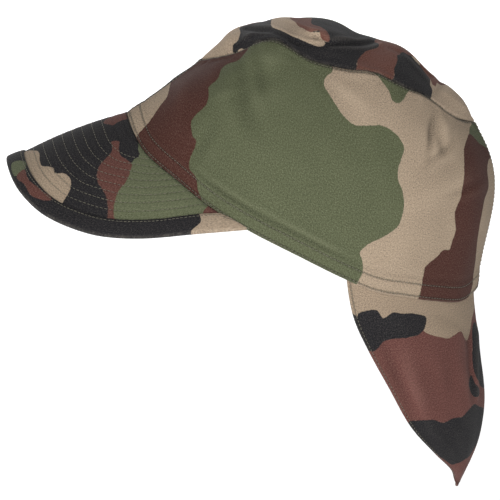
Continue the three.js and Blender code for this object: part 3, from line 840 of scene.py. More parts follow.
def side_panel(name, side, base, seen, hidden, seed):
    """One side panel of the crown with its turned hem, its seams and its creases."""
    t_line = steps(0, LAST, SIDE_MESH[0])
    t, v = np.meshgrid(t_line, steps(0, 1, SIDE_MESH[1]), indexing="ij")
    middle = side_surface(side, t, v)
    normal = side_normal(side, t, v)
    normal[:, -1] = seam_normal(side, t_line)
    normal[(0, -1), :, 0] = 0
    normal = unit(normal)
    run = arc(side_surface(side, t_line, np.full_like(t_line, 0.4)), 0)[:, None]
    up, down = from_both_ends(middle, 1)
    front, back = from_both_ends(middle, 0)
    to_centre = np.minimum(front, back)
    edge = np.sin(math.pi * v) * np.sin(math.pi * t / LAST)
    free = ramp(up, 8, 24) * ramp(down, 2, 14) * ramp(to_centre, 2, 12)
    body = folds(side, middle) * np.minimum(1, 3 * edge) + waves(run, up, SIDE_WAVES, seed) * free
    puckers = 0.32 * ripple(run, down, PUCKER_SPACING, seed + 2) * bell(down - 3, 4.5)
    at_ear = ramp(run, 55, 100) * (1 - ramp(run, 135, 170)) * (0.8 + 0.4 * ripple(run, up, 26, seed + 5))
    above_hem = ridges(up, ABOVE_HEM) * (0.12 + at_ear)
    hem = hem_relief(run, up, HEM_ROWS, HEM_DEPTH, seed + 3)
    relief = body + puckers + ridges(down, SIDE_SEAM) + ridges(to_centre, CENTRE_SEAM) + above_hem + hem
    half = CROWN_CLOTH / 2 * rounding(up, CROWN_CLOTH / 2)
    outer = middle + normal * (half + relief * rounding(up, 1.2))[..., None]
    inner = middle + normal * (body * 0.9 - half * 0.8)[..., None]
    for layer in (outer, inner):
        layer[..., 0] = np.maximum(layer[..., 0], 0.02) * side
    mirrored = normal * np.array([side, 1, 1])
    flat = stacked(run, up)
    fields = cloth_fields(
        flat, base, carried(seen, outer, mirrored, flat), hidden,
        hollow_of(body + puckers + above_hem + hem_relief(run, up, (), HEM_DEPTH, seed + 3)),
        row=up - HEM_ROWS[1],
        second_row=np.minimum(up - HEM_ROWS[0], down - SEAM_ROW),
        worn=np.minimum(up, down),
        seam=np.minimum(down, to_centre),
    )
    for row in HEM_ROWS:
        sew("crown", outer, mirrored, up, row)
        sew("crown", inner, -mirrored, up, row)
    sew("crown", outer, mirrored, down, SEAM_ROW)
    sew("crown", outer, mirrored, front, SEAM_ROW, crosswise=True)
    sew("crown", outer, mirrored, back, SEAM_ROW, crosswise=True)
    return closed_cloth(name, outer, inner, fields, flat)


def crown_top(name, seed):
    """The crown's top panel, from its front point to its back point."""
    narrowest = 0.4
    rows = np.linspace(0, LAST, 4000)
    wide = rows[seam_point(rows, -1)[..., 0] > narrowest]
    t_line = steps(wide[0], wide[-1], TOP_MESH[0])
    t, q = np.meshgrid(t_line, steps(1, -1, TOP_MESH[1]), indexing="ij")
    middle = top_surface(t, q)
    normal = top_normal(t, q)
    for end, side in ((0, 1), (-1, -1)):
        normal[:, end] = seam_normal(side, t_line) * np.array([side, 1, 1])
    run = arc(top_surface(t_line, np.zeros_like(t_line)), 0)[:, None]
    across, rest = from_both_ends(middle, 1)
    to_edge = np.minimum(across, rest)
    to_point = np.minimum(*from_both_ends(middle, 0))
    edge = np.cos(math.pi * q / 2) * np.sin(math.pi * (t - t_line[0]) / (t_line[-1] - t_line[0]))
    free = ramp(to_edge, 2, 12) * ramp(to_point, 2, 10)
    body = folds(0, middle) * np.minimum(1, 3 * edge)
    body += creases(middle, TOP_CREASES) * np.minimum(1, 4 * edge) * (q > 0)
    body += waves(run, across, TOP_WAVES, seed) * free
    puckers = 0.3 * ripple(run, to_edge, PUCKER_SPACING, seed + 2) * bell(to_edge - 3, 4)
    half = CROWN_CLOTH / 2
    outer = middle + normal * (half + body + puckers + ridges(to_edge, TOP_SEAM))[..., None]
    inner = middle + normal * (body * 0.9 - half * 0.8)[..., None]
    flat = stacked(run, (rest - across) / 2)
    fields = cloth_fields(
        flat, "tan", carried(SEEN_TOP, outer, normal, flat), HIDDEN_TOP, hollow_of(body + puckers),
        worn=to_edge, seam=to_edge,
    )
    return closed_cloth(name, outer, inner, fields, flat)


def tucked(points, w):
    """Run the ends of the peak or its binding in under the crown's hem."""
    share = ramp(np.abs(w), TUCK_FROM, TEMPLE)[:, None, None]
    target = np.sign(w)[:, None, None] * np.array([TEMPLE_TUCK[0], 0, 0]) + np.array([0, *TEMPLE_TUCK[1:]])
    return points + (target - points) * share * 0.97


def peak_grid():
    """The peak's lines from left to right.

    Their numbers, what peak_lines gives, how far the binding reaches inward along each, and how far each lies
    from the middle, measured round the edge.
    """
    w_line = steps(TEMPLE, -TEMPLE, PEAK_MESH[0])
    edge, inward, length, normal, square = peak_lines(w_line)
    reach = np.minimum(BINDING_WIDTH / square, length - PEAK_TUCK)
    run = arc(edge, 0)
    return w_line, edge, inward, length, normal, square, reach, run[-1] / 2 - run


def peak(name, seed):
    """The quilted peak: two cloths over a stiffener, with rows that follow its outer edge."""
    w_line, edge, inward, length, normal, square, reach, run = peak_grid()
    run = run[:, None]
    start = BINDING_NOSE + BOARD_GAP
    distance = start + (length - PEAK_TUCK - start)[:, None] * steps(0, 1, PEAK_MESH[1])
    span = (length - reach)[:, None]
    camber = PEAK_CAMBER * span * np.sin(math.pi * np.clip((distance - reach[:, None]) / span, 0, 1))
    middle = edge[:, None] + inward[:, None] * distance[..., None] + normal[:, None] * camber[..., None]
    normals = np.broadcast_to(normal[:, None], middle.shape)
    from_edge = distance * square[:, None]
    into = (from_edge - BINDING_WIDTH) / QUILT_PITCH
    wave = np.abs(np.sin(math.pi * into))
    quilted = ramp(from_edge, BINDING_WIDTH - 2, BINDING_WIDTH + 1)
    puckers = 0.1 * ripple(run, from_edge, 4, seed) * (1 - wave)
    broad = 0.25 * ripple(run, from_edge, 24, seed + 1)
    above = QUILT_OVER * wave ** QUILT_POWER * quilted + puckers + broad * 0.5
    under = (QUILT_UNDER * wave ** QUILT_POWER + 0.08 * ripple(run, from_edge, 5, seed + 4)) * quilted
    half = PEAK_BOARD / 2
    outer = tucked(middle + normals * (half + above)[..., None], w_line)
    inner = tucked(middle - normals * (half + under)[..., None], w_line)
    flat = stacked(run, from_edge)
    patches = carried(SEEN_PEAK, outer, normals, flat)
    fields = cloth_fields(
        flat, "black", patches, HIDDEN_PEAK, 0.6 * hollow_of(puckers + broad),
        row=(into - np.round(into)) * QUILT_PITCH,
        seam=np.minimum(from_edge - BINDING_WIDTH + 0.5, length[:, None] - distance - 0.6),
    )
    for k in range(1, QUILT_ROWS + 1):
        wanted = BINDING_WIDTH + k * QUILT_PITCH
        sew("peak", outer, normals, from_edge, wanted, QUILT_STITCH)
        sew("peak", inner, -normals, from_edge, wanted, QUILT_STITCH)
    return closed_cloth(name, outer, inner, fields, flat)


def binding_section():
    """The binding's closed section, from its upper lip round its nose and back through its inside.

    For each point: its share of the reach inward, its share out to the nose, and its height. Then the number
    of points on its upper face, and the number on its outside.
    """
    slot = PEAK_BOARD / 2 + BOARD_GAP
    face = slot + BINDING_CLOTH * 0.75
    lip = slot - 0.15
    upper = []
    for share in (1, 0.985, 0.96, *np.linspace(0.92, 0.16, 11)):
        from_lip = (1 - share) * BINDING_WIDTH
        puff = BINDING_PUFF * math.sin(math.pi * min(1, 1.05 * share))
        rise = (face - lip) * rounding(from_lip, 0.8)
        upper.append((share, 0, lip + rise + puff - ridges(from_lip, [BINDING_GROOVE])))
    turns = np.radians(np.linspace(90, -90, 9))
    nose = [(0, 1 - math.cos(turn), face * math.sin(turn)) for turn in turns]
    lower = [(share, 0, -high) for share, _, high in upper[::-1]]
    inside = [(1, 0, 0.2 - lip), (0.5, 0, -slot), (0.13, 0, -slot), (0.13, 0, slot), (0.5, 0, slot)]
    inside += [(1, 0, lip - 0.2)]
    return np.array(upper + nose + lower + inside).T, len(upper), len(upper + nose + lower)


def peak_binding(name, seed):
    """The strip folded round the peak's outer edge."""
    w_line, edge, inward, _, normal, _, reach, run = peak_grid()
    run = run[:, None]
    (share, nose, high), face_size, outside = binding_section()
    distance = np.where(share > 0, share * reach[:, None], nose * (BINDING_NOSE * 0.9))
    turns = 2 * math.pi * run / BINDING_ROPE_SPACING
    rope = BINDING_ROPE_HEIGHT * np.sin(turns) * bell(share - 0.85, 0.2)
    lumps = BINDING_LUMP_HEIGHT * ripple(run, 10 * np.sign(high), BINDING_LUMP_SPACING, seed)
    lift = np.where(np.arange(len(share)) < outside, (rope + lumps) * np.sign(high), 0)
    points = edge[:, None] + inward[:, None] * distance[..., None]
    points += normal[:, None] * (high + lift)[..., None]
    from_lip = arc(points, 1)
    points = tucked(points, w_line)
    flat = stacked(run, distance)
    upper = slice(0, face_size)
    lower = slice(outside - face_size, outside)
    facing = np.broadcast_to(normal[:, None], points[:, upper].shape)
    patches = carried(SEEN_BINDING, points[:, upper], facing, flat[:, upper]) + [BINDING_END]
    fields = cloth_fields(
        flat, "black", patches, HIDDEN_BINDING, np.zeros(distance.shape), row=from_lip - BINDING_ROW,
        worn=distance,
    )
    fields["reverse"] = np.zeros(distance.shape)
    inset = np.broadcast_to((1 - share) * BINDING_WIDTH, distance.shape)
    sew("peak", points[:, upper], facing, inset[:, upper], BINDING_ROW)
    sew("peak", points[:, lower], -facing, inset[:, lower], BINDING_ROW)
    return looped_cloth(name, points, fields, flat)


def looped_cloth(name, points, fields, flat):
    """A closed mesh from a row of closed sections, with its two ends filled."""
    rows, size = points.shape[:2]
    index = np.arange(rows * size).reshape(rows, size)
    after = np.roll(index, -1, axis=1)
    faces = quads(index[:-1], index[1:], after[1:], after[:-1])
    fields = {key: values.ravel() for key, values in fields.items()}
    piece = build_mesh(name, points.reshape(-1, 3), faces, fields, flat.reshape(-1, 2))
    close_holes(piece)
    return piece


def close_holes(piece):
    mesh = bmesh.new()
    mesh.from_mesh(piece.data)
    rims = [edge for edge in mesh.edges if edge.is_boundary]
    bmesh.ops.holes_fill(mesh, edges=rims, sides=0)
    bmesh.ops.recalc_face_normals(mesh, faces=mesh.faces)
    mesh.to_mesh(piece.data)
    mesh.free()


def neck_flap(name, seed):
    """The flap that hangs from inside the hem at the back, with a narrow turned hem on its free edges.

    It comes with its flat width, length and area in metres.
    """
    a, b = np.meshgrid(steps(1, -1, FLAP_MESH[0]), steps(0, 1, FLAP_MESH[1]), indexing="ij")
    middle = flap_surface(a, b)
    normal = normal_of(flap_surface, a, b, (-1, 1), (0, 1))
    normal *= np.sign(normal[a.shape[0] // 2, a.shape[1] // 2, 1])
    left, right = from_both_ends(middle, 0)
    down, bottom = from_both_ends(middle, 1)
    from_edge = np.minimum(np.minimum(left, right), bottom)
    run = a * FLAP_HALF_WIDTH
    low = -middle[..., 2]
    hanging = ramp(down, 12, 40)
    drape = 1.3 * ripple(run, down * 0.3, 24, seed) + 0.35 * ripple(run, down, 13, seed + 1)
    to_crease = np.where(a > 0, middle[..., 1] - (93 + 0.05 * (low - 60)), FAR)
    crease = ridges(to_crease, FLAP_CREASE) * (ramp(low, 66, 80) * (1 - ramp(low, 104, 116)))
    sags = np.where(a > 0, folds(2, middle), folds(-2, middle))
    body = ((drape + sags) * ramp(from_edge, 2, 16) + crease) * hanging
    hem, bare_hem = (
        hem_relief(down + run, from_edge, rows, FLAP_TURN, seed + 2) * hanging for rows in ((FLAP_ROW,), ())
    )
    half = FLAP_CLOTH / 2 * rounding(from_edge, FLAP_CLOTH / 2)
    to_tip = length_of(middle - flap_surface(np.zeros((1, 1)), np.ones((1, 1))))[..., 0]
    curl = bell(to_tip, 6)[..., None] * np.array(TIP_CURL)
    outer = middle + normal * (half + body + hem * rounding(from_edge, 1))[..., None] + curl
    inner = middle + normal * (body - half * 0.8)[..., None] + curl
    flat = stacked(run, down)
    fields = cloth_fields(
        flat, "brown", carried(SEEN_FLAP, outer, normal, flat), HIDDEN_FLAP, hollow_of(body + bare_hem),
        row=from_edge - FLAP_ROW, worn=from_edge,
    )
    for grid, facing in ((outer, normal), (inner, -normal)):
        for to_side in (left, right):
            sew("flap", grid, facing, to_side, FLAP_ROW, crosswise=True)
    piece = closed_cloth(name, outer, inner, fields, flat)
    widths = np.linalg.norm(np.diff(middle, axis=0), axis=-1).sum(axis=0)
    heights = np.linalg.norm(np.diff(middle, axis=1), axis=-1).sum(axis=1)
    cells = np.linalg.norm(
        np.cross(middle[1:, 1:] - middle[:-1, :-1], middle[1:, :-1] - middle[:-1, 1:]), axis=-1
    )
    return piece, widths.max() * MM, heights.max() * MM, cells.sum() / 2 * MM * MM


# Materials

def feed(socket, given):
    """Set a socket to a value, or link it to the output that gives one."""
    if isinstance(given, Value):
        socket.id_data.links.new(given.output, socket)
    else:
        socket.default_value = given


def add_node(tree, kind, inputs=(), **properties):
    """A node with its properties set and its inputs set or linked."""
    made = tree.nodes.new(kind)
    for key, value in properties.items():
        setattr(made, key, value)
    for key, value in dict(inputs).items():
        feed(made.inputs[key], value)
    return made


class Value:
    """What comes out of a node. Arithmetic on it adds Math nodes to its tree."""

    def __init__(self, output):
        self.output = output

    def math(self, operation, other=0.0):
        tree = self.output.id_data
        return Value(add_node(tree, "ShaderNodeMath", {0: self, 1: other}, operation=operation).outputs[0])

    def __add__(self, other):
        return self.math("ADD", other)

    def __sub__(self, other):
        return self.math("SUBTRACT", other)

    def __mul__(self, other):
        return self.math("MULTIPLY", other)

    def __truediv__(self, other):
        return self.math("DIVIDE", other)


def values_of(made):
    """A node's outputs by name."""
    return {output.name: Value(output) for output in made.outputs}


def blended(tree, factor, a, b, blend="MIX"):
    """A colour mixed from two others."""
    made = add_node(tree, "ShaderNodeMix", data_type="RGBA", blend_type=blend)
    for socket, given in ((0, factor), (6, a), (7, b)):
        feed(made.inputs[socket], given)
    return Value(made.outputs[2])


def noise(place, scale, detail, roughness):
    """Noise from 0 to 1 over a place."""
    inputs = {"Vector": place, "Scale": scale, "Detail": detail, "Roughness": roughness}
    return Value(add_node(place.output.id_data, "ShaderNodeTexNoise", inputs).outputs["Fac"])


def new_group(name, inputs, outputs, kind="ShaderNodeTree"):
    """An empty node group with its named sockets, the values given to it, and where its results go."""
    group = bpy.data.node_groups.new(name, kind)
    for label, socket_kind, value in inputs:
        socket = group.interface.new_socket(label, in_out="INPUT", socket_type="NodeSocket" + socket_kind)
        if value is not None:
            socket.default_value = value
    for label, socket_kind in outputs:
        group.interface.new_socket(label, in_out="OUTPUT", socket_type="NodeSocket" + socket_kind)
    return group, values_of(group.nodes.new("NodeGroupInput")), group.nodes.new("NodeGroupOutput").inputs


def new_material(name):
    """A new material, its node tree and its shader's inputs."""
    material = bpy.data.materials.new(name)
    material.use_nodes = True
    return material, material.node_tree, material.node_tree.nodes["Principled BSDF"].inputs


def near(distance, reach):
    """1 where a distance is nothing, down to 0 past a reach."""
    share = distance / reach
    return (share * share * -1.0).math("EXPONENT")


def twill_weave():
    """Cotton twill: fine slanting ribs crossed by the weft, broken up by uneven yarn."""
    group, given, result = new_group(
        "twill_weave",
        [("Vector", "Vector", None), ("Rib Pitch", "Float", 0.0007), ("Unevenness", "Float", 0.5)],
        [("Height", "Float"), ("Shade", "Float")],
    )
    parts = values_of(add_node(group, "ShaderNodeSeparateXYZ", {0: given["Vector"]}))
    slanted = parts["X"] + parts["Y"]
    crossed = parts["X"] - parts["Y"] * 2.3
    rib, weft = ((yarns / given["Rib Pitch"] * (2 * math.pi)).math("SINE") for yarns in (slanted, crossed))
    grain = (noise(given["Vector"], 1000.0, 3.0, 0.7) - 0.5) * given["Unevenness"]
    speckle = noise(given["Vector"], 1250.0, 2.0, 0.8) - 0.5
    feed(result["Height"], rib * 0.35 + weft * 0.15 + grain * 2.0)
    feed(result["Shade"], rib * 0.12 + grain * 1.2 + speckle * 2.6)
    return group


def woodland_print():
    """Four printed colours, from how deep a place lies in each, with edges that bleed along the yarn."""
    spreads = {"Green": 0.45, "Brown": 0.22, "Black": 0.0}
    soft_edge = 0.22
    group, given, result = new_group(
        "woodland_print",
        [("Vector", "Vector", None), ("Tan Color", "Color", None)]
        + [(name + " Depth", "Float", -1.0) for name in spreads]
        + [(name + " Color", "Color", None) for name in spreads],
        [("Color", "Color")],
    )
    wobble = (noise(given["Vector"], 420.0, 3.0, 0.6) - 0.5) * 1.1
    colour = given["Tan Color"]
    for name, spread in spreads.items():
        depth = given[name + " Depth"] + wobble + spread
        inputs = {"Value": depth, "From Min": -soft_edge, "From Max": soft_edge}
        sharp = add_node(group, "ShaderNodeMapRange", inputs, interpolation_type="SMOOTHSTEP")
        colour = blended(group, Value(sharp.outputs["Result"]), colour, given[name + " Color"])
    feed(result["Color"], colour)
    return group


def sewn_row():
    """The groove that a row of stitches pulls into cloth, and the painted shade in it."""
    group, given, result = new_group(
        "sewn_row",
        [("Vector", "Vector", None), ("Distance", "Float", 9.0), ("Width", "Float", 0.6)],
        [("Height", "Float"), ("Shade", "Float")],
    )
    at_row = near(given["Distance"], given["Width"])
    pull = at_row * (noise(given["Vector"], 350.0, 2.0, 0.5) + 0.4)
    feed(result["Height"], pull * -1.0)
    feed(result["Shade"], at_row * -1.0)
    return group


def edge_wear():
    """Where rubbed edges go pale, in broken patches."""
    group, given, result = new_group(
        "edge_wear",
        [("Vector", "Vector", None), ("Distance", "Float", 9.0), ("Reach", "Float", 1.2)],
        [("Mask", "Float")],
    )
    broken = (noise(given["Vector"], 160.0, 4.0, 0.65) - 0.38).math("MAXIMUM") * 3.0
    at_edge = near(given["Distance"], given["Reach"])
    feed(result["Mask"], (at_edge * broken).math("MINIMUM", 1.0))
    return group


PRINT_COLOURS = {
    "Tan": (0.342, 0.265, 0.190, 1),
    "Green": (0.090, 0.101, 0.054, 1),
    "Brown": (0.066, 0.0235, 0.0175, 1),
    "Black": (0.0145, 0.0140, 0.0165, 1),
}
# The same print made lighter or darker on the flap, the crown top and the peak: painted light and shade
HUNG_PAINTED_LIGHT_COLOURS = {"Tan": (0.303, 0.231, 0.164, 1), "Brown": (0.125, 0.049, 0.041, 1)}
TOP_PAINTED_LIGHT_COLOURS = {"Tan": (0.405, 0.312, 0.226, 1), "Brown": (0.140, 0.056, 0.041, 1)}
PEAK_PAINTED_LIGHT_COLOURS = {"Green": (0.108, 0.121, 0.067, 1), "Brown": (0.112, 0.045, 0.036, 1)}
PALE_REVERSE = (0.33, 0.30, 0.23, 1)
RUBBED = (0.38, 0.34, 0.28, 1)

# How much each thing darkens or pales the cloth: seams and hollows by painted shade, crests by painted
# highlight
CLOUDY_TONE = 0.22
WEAVE_TONE = 0.85
SEAM_PAINTED_SHADE = 0.85
HOLLOW_PAINTED_SHADE = 0.3
LINT = 0.24
CREST_PAINTED_HIGHLIGHT = 0.07
WORN_PALE = 0.16
REVERSE_PALE = 0.3
# The heights that the weave, the sewn rows and the cloth's softness give to the bump
WEAVE_HEIGHT = 0.09
ROW_HEIGHT = 0.3
SOFT_HEIGHT = 0.16
# How fast the painted shade of a seam's dark line, and the painted shade beside it, fade with the distance in
# mm
SEAM_FADE = -1.7
BESIDE_FADE = -0.11

# Each cloth: how far its edges wear, its sewn rows' half width and painted shade, the painted shade beside
# its seams, and its colours made lighter or darker on it as painted light and shade
CLOTHS = {
    "crown_twill": (1.3, 0.7, 0.5, 0.19, {}),
    "peak_twill": (1.0, 0.6, 0.19, 0.0, PEAK_PAINTED_LIGHT_COLOURS),
    "binding_twill": (0.7, 0.6, 0.35, 0.0, PEAK_PAINTED_LIGHT_COLOURS),
    "flap_twill": (0.9, 0.6, 0.45, 0.0, HUNG_PAINTED_LIGHT_COLOURS),
    "top_twill": (1.3, 0.7, 0.5, 0.0, TOP_PAINTED_LIGHT_COLOURS),
}


def printed_twill(name, groups):
    """The cap's printed cotton, with the values that one cloth needs."""
    wear_reach, row_width, row_painted_shade, beside_seam_painted_shade, light_painted_colours = CLOTHS[name]
    material, tree, shader = new_material(name)
    place = Value(add_node(tree, "ShaderNodeUVMap", uv_map="cloth").outputs[0])

    def field(key):
        return Value(add_node(tree, "ShaderNodeAttribute", attribute_name=key).outputs["Fac"])

    def placed(key, **inputs):
        named = {label.replace("_", " "): value for label, value in inputs.items()}
        return values_of(
            add_node(tree, "ShaderNodeGroup", {"Vector": place, **named}, node_tree=groups[key])
        )

    weave = placed("weave")
    depths = {label + "_Depth": field(label.lower()) for label in ("Green", "Brown", "Black")}
    # A cloth's own colours here are lit and shaded copies of the print's: painted light and shade
    colours = {label + "_Color": printed for label, printed in {**PRINT_COLOURS, **light_painted_colours}.items()}
    colour = placed("print", **depths, **colours)["Color"]
    row = placed("row", Distance=field("row"), Width=row_width)
    other = placed("row", Distance=field("second_row"), Width=row_width)
    worn = placed("wear", Distance=field("worn"), Reach=wear_reach)
    seam = field("seam").math("ABSOLUTE")
    hollow = field("hollow").math("MAXIMUM", -1.0).math("MINIMUM", 1.0)
    cloudy = noise(place, 28.0, 4.0, 0.6) - 0.5
    # Darker along the sewn rows: painted shade in their grooves
    tone = cloudy * CLOUDY_TONE + weave["Shade"] * WEAVE_TONE + (row["Shade"] + other["Shade"]) * row_painted_shade
    # A dark line along each seam: painted shade in the seam's groove
    tone -= (seam * SEAM_FADE).math("EXPONENT") * SEAM_PAINTED_SHADE
    # Darker beside the crown's seams, where the cloth turns from the light: painted shade
    tone -= (seam * BESIDE_FADE).math("EXPONENT") * beside_seam_painted_shade
    # Darker in the cloth's hollows: painted shade
    tone -= hollow * HOLLOW_PAINTED_SHADE
    tone += 1.0
    grey = Value(add_node(tree, "ShaderNodeCombineColor", {0: tone, 1: tone, 2: tone}).outputs[0])
    lint = weave["Shade"].math("MAXIMUM") * LINT
    # Paler on the cloth's crests: painted highlight
    painted_crest_highlight = (hollow * -1.0).math("MAXIMUM") * CREST_PAINTED_HIGHLIGHT
    colour = blended(tree, 1.0, colour, grey, "MULTIPLY")
    colour = blended(tree, lint + painted_crest_highlight, colour, RUBBED)
    colour = blended(tree, worn["Mask"] * WORN_PALE, colour, RUBBED)
    colour = blended(tree, field("reverse") * REVERSE_PALE, colour, PALE_REVERSE)
    feed(shader["Base Color"], colour)
    feed(shader["Roughness"], weave["Shade"] * 0.1 + 0.88)
    for key, value in (("Specular IOR Level", 0.14), ("Sheen Weight", 0.03), ("Sheen Roughness", 0.45)):
        shader[key].default_value = value
    pulled = row["Height"] + other["Height"]
    soft = noise(place, 90.0, 2.0, 0.5)
    height = weave["Height"] * WEAVE_HEIGHT + pulled * ROW_HEIGHT + soft * SOFT_HEIGHT
    bump = add_node(tree, "ShaderNodeBump", {"Strength": 0.7, "Distance": 0.0006, "Height": height})
    feed(shader["Normal"], Value(bump.outputs[0]))
    return material


def thread_material():
    """Khaki sewing thread with its twist."""
    material, tree, shader = new_material("khaki_thread")
    place = Value(add_node(tree, "ShaderNodeTexCoord").outputs["Object"])
    uneven = noise(place, 700.0, 2.0, 0.6)
    feed(shader["Base Color"], blended(tree, uneven, (0.09, 0.083, 0.058, 1), (0.20, 0.185, 0.135, 1)))
    twist = noise(place, 2600.0, 1.0, 0.5)
    bump = add_node(tree, "ShaderNodeBump", {"Distance": 0.0002, "Height": twist})
    feed(shader["Normal"], Value(bump.outputs[0]))
    shader["Roughness"].default_value = 0.6
    shader["Sheen Weight"].default_value = 0.1
    return material


def floor_material():
    material, _, shader = new_material("pale_floor")
    shader["Base Color"].default_value = (0.75, 0.75, 0.75, 1)
    shader["Roughness"].default_value = 0.9
    shader["Emission Color"].default_value = (1, 1, 1, 1)
    shader["Emission Strength"].default_value = 0.57
    return material


# Stitches

def stitch_tree():
    """Geometry nodes that lay a short arched stitch at every step along each row."""
    tree, given, result = new_group(
        "stitches_along_rows",
        [
            ("Geometry", "Geometry", None),
            ("Pitch", "Float", CROWN_STITCH * MM),
            ("Stitch Share", "Float", STITCH_SHARE),
            ("Thread Radius", "Float", THREAD_RADIUS * MM),
            ("Arch", "Float", STITCH_ARCH * MM),
            ("Seed", "Int", 7),
            ("Thread", "Material", None),
        ],
        [("Geometry", "Geometry")],
        "GeometryNodeTree",
    )

    def add(kind, inputs=(), **properties):
        return Value(add_node(tree, kind, inputs, **properties).outputs[0])

    def point(x, z):
        return add("ShaderNodeCombineXYZ", {"X": x, "Z": z})

    def random_vector(low, high):
        inputs = {"Min": low, "Max": high, "Seed": given["Seed"]}
        return add("FunctionNodeRandomValue", inputs, data_type="FLOAT_VECTOR")

    curve = add("GeometryNodeMeshToCurve", {"Mesh": given["Geometry"]})
    spaced = add("GeometryNodeResampleCurve", {"Curve": curve, "Length": given["Pitch"]}, mode="LENGTH")

    half = given["Pitch"] * given["Stitch Share"] * 0.5
    low = given["Arch"] * -0.7
    start, top, end = point(half * -1.0, low), point(0.0, given["Arch"] * 1.7), point(half, low)
    bow = {"Resolution": 4, "Start": start, "Middle": top, "End": end}
    arch = add("GeometryNodeCurveQuadraticBezier", bow)
    ring = add("GeometryNodeCurvePrimitiveCircle", {"Resolution": 6, "Radius": given["Thread Radius"]})
    stitch = add("GeometryNodeCurveToMesh", {"Curve": arch, "Profile Curve": ring, "Fill Caps": True})

    lift = add("GeometryNodeInputNamedAttribute", {"Name": "lift"}, data_type="FLOAT_VECTOR")
    tangent = add("GeometryNodeInputTangent")
    along = add("FunctionNodeAlignRotationToVector", {"Vector": tangent}, axis="X")
    aligned = {"Rotation": along, "Vector": lift}
    upright = add("FunctionNodeAlignRotationToVector", aligned, axis="Z", pivot_axis="X")
    swing = random_vector((-0.05, -0.05, -0.09), (0.05, 0.05, 0.09))
    swung = {"Rotation": upright, "Rotate By": swing}
    turn = add("FunctionNodeRotateRotation", swung, rotation_space="LOCAL")
    size = random_vector((0.9, 0.85, 0.85), (1.04, 1.15, 1.2))

    inputs = {"Points": spaced, "Instance": stitch, "Rotation": turn, "Scale": size}
    laid = add("GeometryNodeInstanceOnPoints", inputs)
    real = add("GeometryNodeRealizeInstances", {"Geometry": laid})
    feed(result["Geometry"], add("GeometryNodeSetMaterial", {"Geometry": real, "Material": given["Thread"]}))
    return tree


def stitched(name, rows, tree, thread, seed):
    """All the stitches of some rows, as one plain mesh."""
    made = []
    for pitch in sorted({row[2] for row in rows}):
        points, lifts, edges = [], [], []
        for line, lift, row_pitch in rows:
            if row_pitch != pitch:
                continue
            first = len(points)
            points += (line * MM).tolist()
            lifts += lift.tolist()
            edges += [(first + k, first + k + 1) for k in range(len(line) - 1)]
        mesh = bpy.data.meshes.new(name + "_rows")
        mesh.from_pydata(points, edges, [])
        direction = mesh.attributes.new("lift", "FLOAT_VECTOR", "POINT")
        direction.data.foreach_set("vector", np.array(lifts, dtype=np.float32).ravel())
        guide = in_scene(name + "_rows", mesh)
        modifier = guide.modifiers.new("stitches", "NODES")
        modifier.node_group = tree
        sockets = {item.name: item.identifier for item in tree.interface.items_tree if item.in_out == "INPUT"}
        for key, value in (
            ("Pitch", pitch * MM), ("Thread Radius", THREAD_RADIUS * MM), ("Arch", STITCH_ARCH * MM),
            ("Stitch Share", STITCH_SHARE), ("Seed", seed), ("Thread", thread),
        ):
            modifier[sockets[key]] = value
        graph = bpy.context.evaluated_depsgraph_get()
        made.append(bpy.data.meshes.new_from_object(guide.evaluated_get(graph)))
        guide.modifiers.remove(modifier)
        bpy.data.objects.remove(guide)
    return joined(name, made, thread)


def joined(name, meshes, material):
    """Several meshes as one piece."""
    points, faces = [], []
    for mesh in meshes:
        first = len(points)
        points += [tuple(vertex.co) for vertex in mesh.vertices]
        faces += [[first + k for k in polygon.vertices] for polygon in mesh.polygons]
    mesh = bpy.data.meshes.new(name)
    mesh.from_pydata(points, [], faces)
    mesh.polygons.foreach_set("use_smooth", np.ones(len(mesh.polygons), dtype=bool))
    mesh.materials.append(material)
    return in_scene(name, mesh)


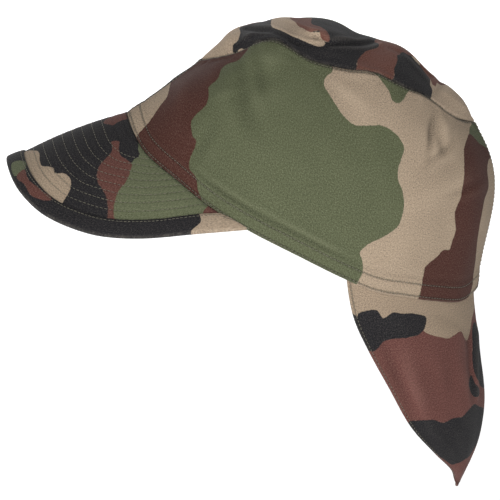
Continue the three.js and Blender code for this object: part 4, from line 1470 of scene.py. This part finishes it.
def dress():
    """Make every piece of the cap and stand it for its CAD node."""
    pieces = {
        "side_panel_left": side_panel("side_panel_left_cloth", 1, "green", SEEN_SIDE, (), 11),
        "side_panel_right": side_panel("side_panel_right_cloth", -1, "tan", (), HIDDEN_SIDE_RIGHT, 31),
        "crown_top": crown_top("crown_top_cloth", 51),
        "peak": peak("peak_cloth", 71),
        "peak_binding": peak_binding("peak_binding_cloth", 81),
    }
    flap, width, length, area = neck_flap("neck_flap_cloth", 91)
    pieces["neck_flap"] = flap
    groups = {"weave": twill_weave(), "print": woodland_print(), "row": sewn_row(), "wear": edge_wear()}
    cloths = {
        "side_panel_left": "crown_twill", "side_panel_right": "crown_twill", "crown_top": "top_twill",
        "peak": "peak_twill", "peak_binding": "binding_twill", "neck_flap": "flap_twill",
    }
    materials = {name: printed_twill(name, groups) for name in CLOTHS}
    for cad_node, piece in pieces.items():
        piece.data.materials.append(materials[cloths[cad_node]])
        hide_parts(cad_node)
        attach(piece, "root")
    thread = thread_material()
    tree = stitch_tree()
    sewn = {}
    for seed, (group, rows) in enumerate(stitch_rows.items()):
        sewn[group] = stitched(group + "_stitches", rows, tree, thread, seed + 3)
        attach(sewn[group], "root")


def studio():
    """Pale floor, soft lights, and a long lens at the wearer's left."""
    bpy.ops.mesh.primitive_plane_add(size=40, location=(0, 0, -0.21))
    floor = bpy.context.object
    floor.name = "floor"
    floor.data.materials.append(floor_material())
    world = bpy.data.worlds.new("studio")
    world.use_nodes = True
    background = world.node_tree.nodes["Background"].inputs
    background["Color"].default_value = (1, 1, 1, 1)
    background["Strength"].default_value = 0.1
    bpy.context.scene.world = world
    bpy.context.scene.view_settings.view_transform = "Standard"
    # Each lamp: its place and size in metres, its power in watts
    lights = (
        ("key", (2.28, -0.4, 0.6), 0.8, 35.5),
        ("fill", (2.2, 0.2, 0.1), 1.0, 9),
        ("top", (-0.5, 0.3, 2.0), 1.2, 9),
        ("far_fill", (-2.0, -0.4, 0.8), 1.6, 24),
        ("front_fill", (0.2, -2.2, 0.5), 1.6, 2.5),
        ("back_fill", (0.0, 2.2, 0.5), 1.6, 1.0),
    )
    for name, place, size, power in lights:
        data = bpy.data.lights.new(name, "AREA")
        data.size = size
        data.energy = power
        lamp = in_scene(name, data)
        lamp.location = place
        lamp.rotation_euler = aimed(place)
    rise = math.radians(EYE_LEVEL)
    eye = Vector(VIEW_MIDDLE) + Vector((math.cos(rise), 0, math.sin(rise))) * EYE_DISTANCE
    data = bpy.data.cameras.new("camera")
    data.sensor_width = 36
    data.lens = 36 * EYE_DISTANCE / VIEW_WIDTH
    data.clip_end = 100
    camera = in_scene("camera", data)
    camera.location = eye
    camera.rotation_euler = aimed(eye)
    bpy.context.scene.camera = camera


def aimed(place):
    """The rotation that points a lamp or camera at the middle of the view."""
    return (Vector(VIEW_MIDDLE) - Vector(place)).to_track_quat("-Z", "Y").to_euler()


dress()
studio()
